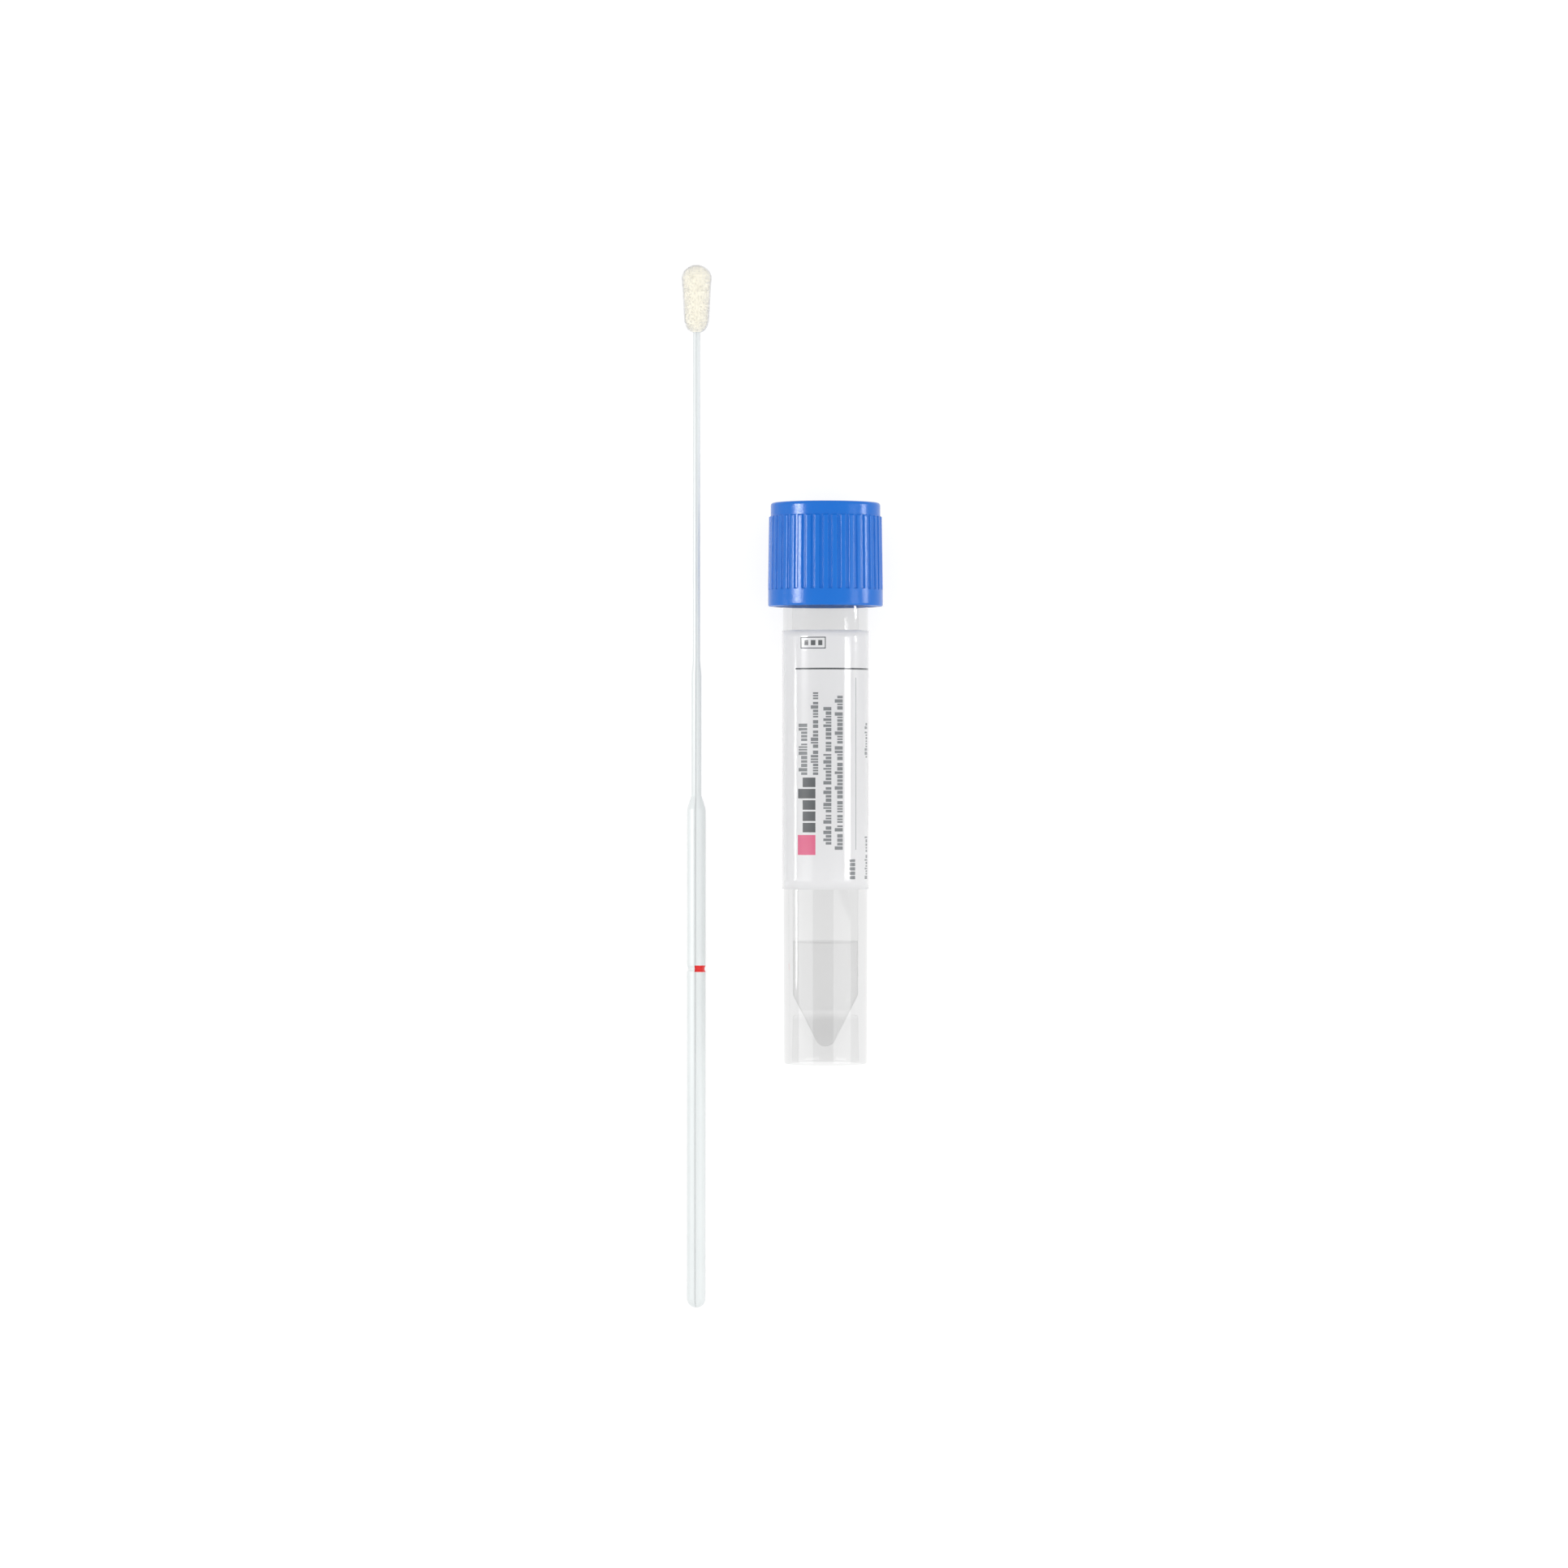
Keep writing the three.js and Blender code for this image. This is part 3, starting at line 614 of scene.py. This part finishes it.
outside = np.concatenate([outside[:np.argmax(at_rib_low)], [[CAP_RADIUS, RIB_LOW - LEAST_REACH]],
                          rib_rows, outside[len(at_rib_low) - np.argmax(at_rib_low[::-1]):]])

rib_pitch = 2 * np.pi / RIB_COUNT
one_rib = np.concatenate([-GROOVE_COLUMNS[::-1], [0], GROOVE_COLUMNS]) / CREST_RADIUS
one_rib = np.append(one_rib, rib_pitch / 2)
cap_angle = ((np.arange(RIB_COUNT) + 0.5)[:, None] * rib_pitch + one_rib).ravel()[None, :]

radius, height = outside[:, :1], outside[:, 1:]
off_middle = abs(np.tile(one_rib, RIB_COUNT)) * CREST_RADIUS
lean_in = CAP_DRAFT * (height - RIB_LOW) / (RIB_HIGH - RIB_LOW)
floor = CAP_RADIUS - GROOVE_DEPTH - lean_in
flank = GROOVE_DEPTH / ((GROOVE_WIDTH - GROOVE_FLOOR) / 2)
groove = floor + flank * np.clip(off_middle - GROOVE_FLOOR / 2, 0, None)
closing = 1 - smooth_step((height - RIB_LOW) / GROOVE_END)
groove = groove + closing * GROOVE_DEPTH
in_ribs = (height >= RIB_LOW) & (height < RIB_HIGH + RIB_HEIGHT)
cap_outside = turned(np.where(in_ribs, np.minimum(radius, groove), radius), height, cap_angle)
print("cap's outside:", len(cap_outside[1]), "faces")

# %% The cap's inside, and the rim that joins them
DOCK_MOUTH, DOCK_RADIUS, DOCK_DRAFT, DOCK_LIP = 74.65, 2.4, 0.15, 0.15
SOCKET_RADIUS, FUNNEL_FLARE, FUNNEL_DEPTH = 1.4, 0.7, 1.5
CAP_THREAD_START, CAP_THREAD_ANGLE, CAP_THREAD_TURNS, CAP_ROWS_ABOVE = 68.8, -2.162, 1.75, 6.2

inside = outline([
    [0, CAP_CEILING],
    [SOCKET_RADIUS, CAP_CEILING],
    [SOCKET_RADIUS, DOCK_MOUTH + FUNNEL_DEPTH],
    [SOCKET_RADIUS + FUNNEL_FLARE, DOCK_MOUTH],
    [DOCK_RADIUS, DOCK_MOUTH, DOCK_LIP],
    [DOCK_RADIUS + DOCK_DRAFT, CAP_CEILING],
    [CAP_BORE, CAP_CEILING],
    [CAP_BORE, CAP_LOW + MOUTH_CHAMFER],
    [CAP_BORE + MOUTH_CHAMFER, CAP_LOW],
], steps=3)[:-1]  # the strip takes the last step, down the mouth's chamfer
bore_rows = np.arange(CAP_THREAD_START + CAP_ROWS_ABOVE, CAP_THREAD_START - ROWS_BELOW, -ROW_STEP)
last_high = int(np.flatnonzero(inside[:, 1] > bore_rows[0] + 1)[-1])
inside = np.insert(inside, last_high + 1,
                   np.stack([np.full_like(bore_rows, CAP_BORE), bore_rows], 1), 0)
radius, height = inside[:, :1], inside[:, 1:]
angle = cap_angle[:, ::2]
in_bore = (radius > CAP_BORE - CLOSE) & (height > CAP_LOW + MOUTH_CHAMFER)
raised = ridge(angle, height, CAP_THREAD_ANGLE, CAP_THREAD_START, CAP_THREAD_TURNS) * in_bore
cap_inside = turned(radius - raised, height, angle)

rim_outer = np.arange(cap_angle.size)
rim_inner = np.arange(cap_angle.size // 2) + len(cap_inside[0]) - cap_angle.size // 2
left, middle_one, right = (np.roll(rim_outer, -n)[::2] for n in (0, 1, 2))
n_inside = len(cap_inside[0])
here, beside = rim_inner, np.roll(rim_inner, -1)
rim = np.concatenate([
    np.stack([here, middle_one + n_inside, left + n_inside, left + n_inside], 1),
    np.stack([here, beside, middle_one + n_inside, middle_one + n_inside], 1),
    np.stack([beside, right + n_inside, middle_one + n_inside, middle_one + n_inside], 1)])
points, faces = together(cap_inside, cap_outside)
cap_surface = (points, np.concatenate([faces, rim]))

# %% [markdown]
# ### Blue polypropylene
# The cap's colour goes all through it. The mould was spark eroded rather than polished, which gives
# the plastic a fine even grain, and the eye sees it where a bright highlight breaks up into specks
# at its edges. The grain is drawn a little coarser than the real one, so that it shows.

# %% The cap's finish
blue, tree = new_material("blue_polypropylene")
place = add(tree, "ShaderNodeTexCoord")
spark = add(tree, "ShaderNodeTexNoise", {
    "Vector": place.outputs["Object"], "Scale": 1 / (0.22 * MM), "Detail": 3.0})
cloud = add(tree, "ShaderNodeTexNoise", {
    "Vector": place.outputs["Object"], "Scale": 1 / (4 * MM), "Detail": 2.0})
shade = add(tree, "ShaderNodeMix", {
    "Factor": cloud.outputs["Fac"], "A": linear("#0067C8"), "B": linear("#046DCE")},
    data_type="RGBA")
dull = add(tree, "ShaderNodeMapRange", {
    "Value": spark.outputs["Fac"], "From Min": 0.3, "From Max": 0.7, "To Min": 0.16,
    "To Max": 0.26})
relief = add(tree, "ShaderNodeBump", {
    "Height": spark.outputs["Fac"], "Strength": 0.5, "Distance": 0.03 * MM})
body = add(tree, "ShaderNodeBsdfPrincipled", {
    "Base Color": shade.outputs["Result"], "Roughness": dull.outputs["Result"], "IOR": 1.36,
    "Normal": relief.outputs["Normal"]})
show(tree, body.outputs["BSDF"])

cap = make_piece("blue_cap", cap_surface, lay_tube, "cap", blue)
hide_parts("screw_cap")
compare(cap, "screw_cap")

# %% [markdown]
# ## The sealing washer
# A soft ring lies between the tube's rim and the cap's top and is pressed by the screw. It is cut
# from pale rubber foam, so it is matt, with a fine open grain.

# %% Make the washer
SEAL_IN, SEAL_OUT, SEAL_LOW, SEAL_HIGH, SEAL_EDGE = 2.7, 6.85, 78.75, 79.75, 0.2
rubber, tree = new_material("foamed_rubber")
place = add(tree, "ShaderNodeTexCoord")
cells = add(tree, "ShaderNodeTexVoronoi", {
    "Vector": place.outputs["Object"], "Scale": 1 / (0.25 * MM)})
relief = add(tree, "ShaderNodeBump", {
    "Height": cells.outputs["Distance"], "Strength": 0.4, "Distance": 0.04 * MM})
tone = add(tree, "ShaderNodeMix", {
    "Factor": cells.outputs["Distance"], "A": linear("#E4E3DD"), "B": linear("#F4F4F0")},
    data_type="RGBA")
body = add(tree, "ShaderNodeBsdfPrincipled", {
    "Base Color": tone.outputs["Result"], "Roughness": 0.7, "Normal": relief.outputs["Normal"]})
show(tree, body.outputs["BSDF"])

ring = outline([
    [SEAL_IN, (SEAL_LOW + SEAL_HIGH) / 2], [SEAL_IN, SEAL_LOW], [SEAL_OUT, SEAL_LOW, SEAL_EDGE],
    [SEAL_OUT, SEAL_HIGH, SEAL_EDGE], [SEAL_IN, SEAL_HIGH], [SEAL_IN, (SEAL_LOW + SEAL_HIGH) / 2]])
points, faces = turned(ring[:-1, :1], ring[:-1, 1:], full_turn(ROUND_COLUMNS)[None, :])
last = len(points) - ROUND_COLUMNS + np.arange(ROUND_COLUMNS)
first = np.arange(ROUND_COLUMNS)
closing_faces = np.stack([last, np.roll(last, -1), np.roll(first, -1), first], 1)
seal = make_piece("cap_washer", (points, np.concatenate([faces, closing_faces])), lay_tube,
                  "seal", rubber)
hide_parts("cap_seal")
compare(seal, "cap_seal")

# %% [markdown]
# ## The swab's stick
# The stick is one moulding too: a stiff handle, a short shoulder, a shank and then a thin flexible
# stem. A shallow groove, marked with a dab of red ink, is where it snaps off. The outline is turned
# with grid lines exactly at the ink's edges, and an attribute says which faces are inked.

# %% Make the stick
HANDLE_LENGTH, SHOULDER_LENGTH, SHOULDER_STEP = 72.2, 2.2, 0.4
SHANK_RADIUS, SHANK_END, SHANK_TAPER, STEM_RADIUS = 0.72, 92.0, 2.1, 0.53
BREAK_AT, BREAK_WIDTH, BREAK_DEPTH = 49.2, 0.8, 0.15
COAT_OVER_STEM = 1.3
INK_HALF, INK_FROM, INK_TO = 0.475, math.radians(-11), math.radians(115)
SWAB_COLUMNS = 96


def arc(radius, centre, start, end, steps):
    """A quarter of a round end, in (radius, height)."""
    a = np.linspace(start, end, steps)
    line = np.stack([radius * np.cos(a), centre + radius * np.sin(a)], 1)
    line[abs(line[:, 0]) < 1e-9, 0] = 0
    return line


def curve(start, towards, end, steps=12):
    """(1-t)^2 * start + 2t(1-t) * towards + t^2 * end."""
    t = np.linspace(0, 1, steps + 1)[:, None]
    start, towards, end = np.array([start, towards, end])
    return (1 - t) ** 2 * start + 2 * t * (1 - t) * towards + t ** 2 * end


stem_end = SWAB_LENGTH - COAT_OVER_STEM
ink_low, ink_high = BREAK_AT - INK_HALF, BREAK_AT + INK_HALF
stick_line = np.concatenate([
    arc(HANDLE_RADIUS, HANDLE_RADIUS, -np.pi / 2, 0, 14),
    [[HANDLE_RADIUS, ink_low]],
    curve([HANDLE_RADIUS, BREAK_AT - BREAK_WIDTH / 2],
          [HANDLE_RADIUS - 2 * BREAK_DEPTH, BREAK_AT], [HANDLE_RADIUS, BREAK_AT + BREAK_WIDTH / 2]),
    [[HANDLE_RADIUS, ink_high], [HANDLE_RADIUS, HANDLE_LENGTH - LEAST_REACH]],
    curve([HANDLE_RADIUS, HANDLE_LENGTH], [HANDLE_RADIUS, HANDLE_LENGTH + SHOULDER_STEP],
          [SHANK_RADIUS, HANDLE_LENGTH + SHOULDER_LENGTH], 16),
    [[SHANK_RADIUS, SHANK_END], [STEM_RADIUS, SHANK_END + SHANK_TAPER],
     [STEM_RADIUS, SHANK_END + SHANK_TAPER + 2 * LEAST_REACH]],
    arc(STEM_RADIUS, stem_end - STEM_RADIUS, 0, np.pi / 2, 8)])
facing = -np.pi / 2  # the line that faces up
stick_angle = full_turn(SWAB_COLUMNS) + facing
edges = np.array([INK_FROM, INK_TO]) + facing
nearest = abs(stick_angle[:, None] - edges).argmin(0)
stick_angle[nearest] = edges

# %% [markdown]
# ### White polystyrene, and its ink
# The stick is moulded in white polystyrene, faintly cool in tone, with a soft gloss. Light goes a
# little way into it, which keeps its shaded side pale. The red ink is printed onto it and fills the
# groove, and it is glossier than the plastic.

# %% The stick's finish
white, tree = new_material("white_polystyrene")
place = add(tree, "ShaderNodeTexCoord")
inked = add(tree, "ShaderNodeAttribute", attribute_name="ink")
cloud = add(tree, "ShaderNodeTexNoise", {
    "Vector": place.outputs["Object"], "Scale": 1 / (6 * MM), "Detail": 2.0})
tone = add(tree, "ShaderNodeMix", {
    "Factor": cloud.outputs["Fac"], "A": linear("#DEE3E3"), "B": linear("#E5E9E9")},
    data_type="RGBA")
colour = add(tree, "ShaderNodeMix", {
    "Factor": inked.outputs["Fac"], "A": tone.outputs["Result"], "B": linear("#E2100E")},
    data_type="RGBA")
grain = add(tree, "ShaderNodeTexNoise", {
    "Vector": place.outputs["Object"], "Scale": 1 / (0.3 * MM), "Detail": 2.0})
relief = add(tree, "ShaderNodeBump", {
    "Height": grain.outputs["Fac"], "Strength": 0.15, "Distance": 0.02 * MM})
body = add(tree, "ShaderNodeBsdfPrincipled", {
    "Base Color": colour.outputs["Result"], "Roughness": 0.35, "IOR": 1.53,
    "Subsurface Weight": 0.2, "Subsurface Radius": (1.0, 1.0, 1.0), "Subsurface Scale": 0.5 * MM,
    "Normal": relief.outputs["Normal"]})
show(tree, body.outputs["BSDF"])

stick_surface = turned(stick_line[:, :1], stick_line[:, 1:], stick_angle[None, :])
stick = make_piece("swab_handle", stick_surface, lay_swab, "tube", white)
row_middle = (stick_line[:-1, 1] + stick_line[1:, 1]) / 2
turn_middle = (stick_angle + (np.roll(stick_angle, -1) - stick_angle) % (2 * np.pi) / 2) - facing
turn_middle = (turn_middle + np.pi) % (2 * np.pi) - np.pi
painted = np.outer(abs(row_middle - BREAK_AT) < INK_HALF,
                   (turn_middle > INK_FROM) & (turn_middle < INK_TO)).ravel()
sides = np.array([len(p.vertices) for p in stick.data.polygons])
attribute = stick.data.attributes.new("ink", "FLOAT", "CORNER")
attribute.data.foreach_set("value", np.repeat(painted, sides).astype(np.float32))
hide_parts("swab_stick")
compare(stick, "swab_stick")
print("inked faces:", int(painted.sum()))

# %% [markdown]
# ## The flocked tip
# Nylon fibres about a millimetre long are shot by an electric field onto glue, so they stand on end
# all over the stem's head like the pile of velvet. The head here is a closed turned core, and each
# fibre is a three-sided spike from the core to the tip's outer shape. All roots and ends are drawn
# at once as arrays from one seeded generator. Fibres are drawn three times thicker than real ones,
# so that a few thousand cover the head.

# %% The tip's outer shape and its core
TIP_LENGTH, BODY_RADIUS, BODY_END = 10.0, 2.1, 5.6
WAIST_RADIUS, WAIST_HEIGHT, HEEL_RADIUS, HEEL_HEIGHT = 1.88, 1.8, 1.6, 0.15
HEAD_LEAN, HEAD_REACH = 0.03, 1.0  # where the curve from body to head aims
TIP_GAP, LEAST_PILE, CORE_INSET = 0.03, 0.05, 0.02
PILE = 0.26  # length of a fibre that shows
tip_low = SWAB_LENGTH - TIP_LENGTH
dome_start = SWAB_LENGTH - DOME_LENGTH
hole = STEM_RADIUS + TIP_GAP
dome_turn = np.linspace(0, np.pi / 2, 24)[:, None]
dome = np.concatenate([BELLY_RADIUS * np.cos(dome_turn),
                       dome_start + DOME_LENGTH * np.sin(dome_turn)], 1)
shape = np.concatenate([
    curve([hole, tip_low], [HEEL_RADIUS, tip_low + HEEL_HEIGHT],
          [WAIST_RADIUS, tip_low + WAIST_HEIGHT], 20),
    curve([BODY_RADIUS, tip_low + BODY_END],
          [(BODY_RADIUS + BELLY_RADIUS) / 2 - HEAD_LEAN, dome_start - HEAD_REACH],
          [BELLY_RADIUS, dome_start], 24),
    dome[1:]])
along = np.gradient(shape, axis=0)
along /= np.linalg.norm(along, axis=1)[:, None]
out = np.stack([along[:, 1], -along[:, 0]], 1)
out[-1] = (0, 1)
depth = np.minimum(PILE, (shape[:, 0] - hole) / 2 + LEAST_PILE)
depth[len(shape) // 2:] = PILE
core = shape - depth[:, None] * out
core[:, 0] = np.maximum(core[:, 0], hole + CORE_INSET)
core[-1, 0] = 0
core_line = np.concatenate([[[0, stem_end + TIP_GAP], [hole, stem_end + TIP_GAP],
                             [hole, core[0, 1] + CORE_INSET]], core])

# %% Thousands of fibres at once
FIBRES, FIBRE_RADIUS, FIBRE_TILT, FIBRE_ROOTING = 8000, 0.03, 0.12, 0.05
SHORTEST, LONGEST = 0.84, 0.97  # a fibre's length, as a share of the way to the tip's shape
ASLANT = 0.31, 0.52, 0.79  # a direction that no fibre has, to find two sides of each with
random = np.random.default_rng(11)
row_length = np.linalg.norm(np.diff(shape, axis=0), axis=1)
area = np.concatenate([[0], np.cumsum(row_length * (shape[1:, 0] + shape[:-1, 0]) / 2)])
row = np.interp(random.random(FIBRES) * area[-1], area, np.arange(len(shape)))
turn = random.random(FIBRES) * 2 * np.pi


def on_rows(line, column):
    """A column of an outline read between its rows."""
    return np.interp(row, np.arange(len(line)), line[:, column])


def around_axis(radius, height):
    """Points at each fibre's own angle."""
    return np.stack([radius * np.cos(turn), radius * np.sin(turn), height], -1)


root = around_axis(on_rows(core, 0), on_rows(core, 1))
end = around_axis(on_rows(shape, 0), on_rows(shape, 1))
reach = end - root
size = np.linalg.norm(reach, axis=1, keepdims=True)
toward = reach / size
side = np.cross(toward, ASLANT)
side /= np.linalg.norm(side, axis=1, keepdims=True)
over = np.cross(toward, side)
sway = random.normal(0, FIBRE_TILT, (2, FIBRES, 1)) * size
length = random.uniform(SHORTEST, LONGEST, (FIBRES, 1))
end = root + reach * length + side * sway[0] + over * sway[1]
root = root - toward * FIBRE_ROOTING
corner = np.arange(3) * 2 * np.pi / 3
foot = (root[:, None] + FIBRE_RADIUS * (side[:, None] * np.cos(corner)[:, None]
                                        + over[:, None] * np.sin(corner)[:, None]))
points = np.concatenate([foot, end[:, None]], 1).reshape(-1, 3)
base = 4 * np.arange(FIBRES)[:, None]
spikes = np.concatenate([base + np.array(corners) for corners in
                         ([0, 1, 3, 3], [1, 2, 3, 3], [2, 0, 3, 3], [2, 1, 0, 0])])
outermost = np.interp(end[:, 2], shape[:, 1], shape[:, 0])
print("fibres:", FIBRES, "furthest outside the shape:",
      round(float((np.hypot(end[:, 0], end[:, 1]) - outermost).max()), 3), "mm")

# %% [markdown]
# ### Flocked nylon
# Nylon flock is white, and deep in the pile it looks a warm cream, strongest where the eye looks
# straight down the fibres. That shade is painted: the colour runs along each fibre, from cream at its
# root to white at its end, held in an attribute, with a soft sheen on top.

# %% The flock's finish and the tip itself
flock, tree = new_material("flocked_nylon")
height_in_pile = add(tree, "ShaderNodeAttribute", attribute_name="pile")
out_of_painted_shade = add(tree, "ShaderNodeMapRange", {
    "Value": height_in_pile.outputs["Fac"], "From Min": 0.05, "From Max": 0.4})
# Painted shade: cream at the fibres' roots and on the core, deep in the pile, fading to white at their ends.
tone = add(tree, "ShaderNodeMix", {
    "Factor": out_of_painted_shade.outputs["Result"], "A": linear("#FFFAE8"), "B": linear("#FFFFFF")},
    data_type="RGBA")
body = add(tree, "ShaderNodeBsdfPrincipled", {
    "Base Color": tone.outputs["Result"], "Roughness": 0.9, "IOR": 1.4, "Sheen Weight": 1.0,
    "Sheen Roughness": 0.5})
show(tree, body.outputs["BSDF"])

core_surface = turned(core_line[:, :1], core_line[:, 1:], full_turn(SWAB_COLUMNS)[None, :])
tip = make_piece("flocked_tip", together(core_surface, (points, spikes)), lay_swab,
                 "tube", flock)
# The core and the fibres' feet get 0, the painted cream shade, and the fibres' ends get 1, white.
in_pile = np.zeros(len(tip.data.vertices), np.float32)
in_pile[-4 * FIBRES:][3::4] = 1
attribute = tip.data.attributes.new("pile", "FLOAT", "POINT")
attribute.data.foreach_set("value", in_pile)
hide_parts("swab_tip")
compare(tip, "swab_tip")

# %% [markdown]
# ## Floor, light and camera
# The set lies on a plain white sheet under an even white sky. The level is plain: a surface that
# faces up renders about in its own colour. The floor's own light reaches only the camera, gloss and
# clear plastic, where a strength of 1 is white, so it keeps the shadow.
#
# Softboxes to the left and the right give every round piece a bright line along each side. A round
# piece turns a lamp at twice a normal's angle towards an eye above it, so a lamp's distance and
# lift say how far from the middle its line lies, its size says how broad the line is, and its
# place along y says which stretch of the tube shows it. Clear plastic, film and cap have different
# gloss, so each stretch has lamps of its own. Only the first pair also lights matt surfaces.

# %% The floor
FLOOR_SIDE, FLOOR_DROP = 6.0, 0.00002
FLOOR_GLOW, FLOOR_SHARE = 1.15, 0.7  # with the rest of the sheet's own white, just over 1
PAPER_WHITE = 0.85, 0.85, 0.85, 1
paper, tree = new_material("white_paper_sheet")
path = add(tree, "ShaderNodeLightPath")
seen = add(tree, "ShaderNodeMath", {0: path.outputs["Is Camera Ray"],
                                    1: path.outputs["Is Glossy Ray"]}, operation="ADD")
seen = add(tree, "ShaderNodeMath", {0: seen.outputs[0], 1: path.outputs["Is Transmission Ray"]},
           operation="ADD", use_clamp=True)
share = add(tree, "ShaderNodeMath", {0: seen.outputs[0], 1: FLOOR_SHARE}, operation="MULTIPLY")
matt = add(tree, "ShaderNodeBsdfDiffuse", {"Color": PAPER_WHITE})
glow = add(tree, "ShaderNodeEmission", {"Color": (1, 1, 1, 1), "Strength": FLOOR_GLOW})
both = add(tree, "ShaderNodeMixShader", {0: share.outputs[0], 1: matt.outputs[0],
                                         2: glow.outputs[0]})
show(tree, both.outputs[0])

corners = FLOOR_SIDE / 2 * np.array([[-1, -1], [1, -1], [1, 1], [-1, 1]])
sheet = bpy.data.meshes.new("floor")
sheet.from_pydata([(x, y, cad_box[0][2] - FLOOR_DROP) for x, y in corners], [], [(0, 1, 2, 3)])
sheet.materials.append(paper)
floor_object = bpy.data.objects.new("floor", sheet)
bpy.context.scene.collection.objects.link(floor_object)

# %% The sky
SKY_LEVEL = 1.0
world = bpy.data.worlds.new("white_sky")
bpy.context.scene.world = world
world.use_nodes = True
world.node_tree.nodes.clear()
sky = add(world.node_tree, "ShaderNodeBackground", {"Color": (1, 1, 1, 1), "Strength": SKY_LEVEL})
add(world.node_tree, "ShaderNodeOutputWorld", {"Surface": sky.outputs[0]})

# %% Softboxes
def softbox(name, away, along, lift, width, height, brightness, gleam_only=False):
    """A lamp that faces the object from a distance along x. Its power is
    pi * area * brightness, so that it looks that many times as bright as white."""
    lamp = bpy.data.lights.new(name, "AREA")
    lamp.shape = "RECTANGLE"
    lamp.size, lamp.size_y = height, width
    lamp.energy = math.pi * height * width * brightness
    box = bpy.data.objects.new(name, lamp)
    box.location = (away, along, lift)
    box.rotation_euler = (0, math.atan2(away, lift), 0)
    box.visible_diffuse = not gleam_only
    box.visible_transmission = False
    bpy.context.scene.collection.objects.link(box)


softbox("high_left", -0.4, -0.08, 0.265, 0.098, 0.39, 1.9)
softbox("high_right", 0.3, -0.0835, 0.275, 0.093, 0.39, 1.8)
softbox("label_gleam_left", -0.4, -0.01, 0.025, 0.072, 0.05, 7.0, gleam_only=True)
softbox("label_gleam_right", 0.4, -0.003, 0.23, 0.056, 0.14, 9.0, gleam_only=True)
softbox("cap_gleam_left", -0.4, 0.056, 0.26, 0.044, 0.14, 54.0, gleam_only=True)
softbox("cap_gleam_right", 0.4, 0.056, 0.03, 0.044, 0.06, 26.0, gleam_only=True)

# %% The camera
CAMERA_TARGET = np.array([0.367, -0.10, 7.39]) * MM
CAMERA_DISTANCE, FIELD_OF_VIEW = 0.81, math.radians(15.94)
lean = math.atan2(tube_axis[2], tube_axis[1])
lens = bpy.data.cameras.new("camera")
lens.angle = FIELD_OF_VIEW
lens.clip_start, lens.clip_end = 0.01, 20
camera = bpy.data.objects.new("camera", lens)
camera.location = CAMERA_TARGET + CAMERA_DISTANCE * np.array([0, -math.sin(lean), math.cos(lean)])
camera.rotation_euler = (lean, 0, 0)
bpy.context.scene.collection.objects.link(camera)
bpy.context.scene.camera = camera
bpy.context.scene.view_settings.view_transform = "Standard"

# %% Finish
bpy.context.view_layer.update()
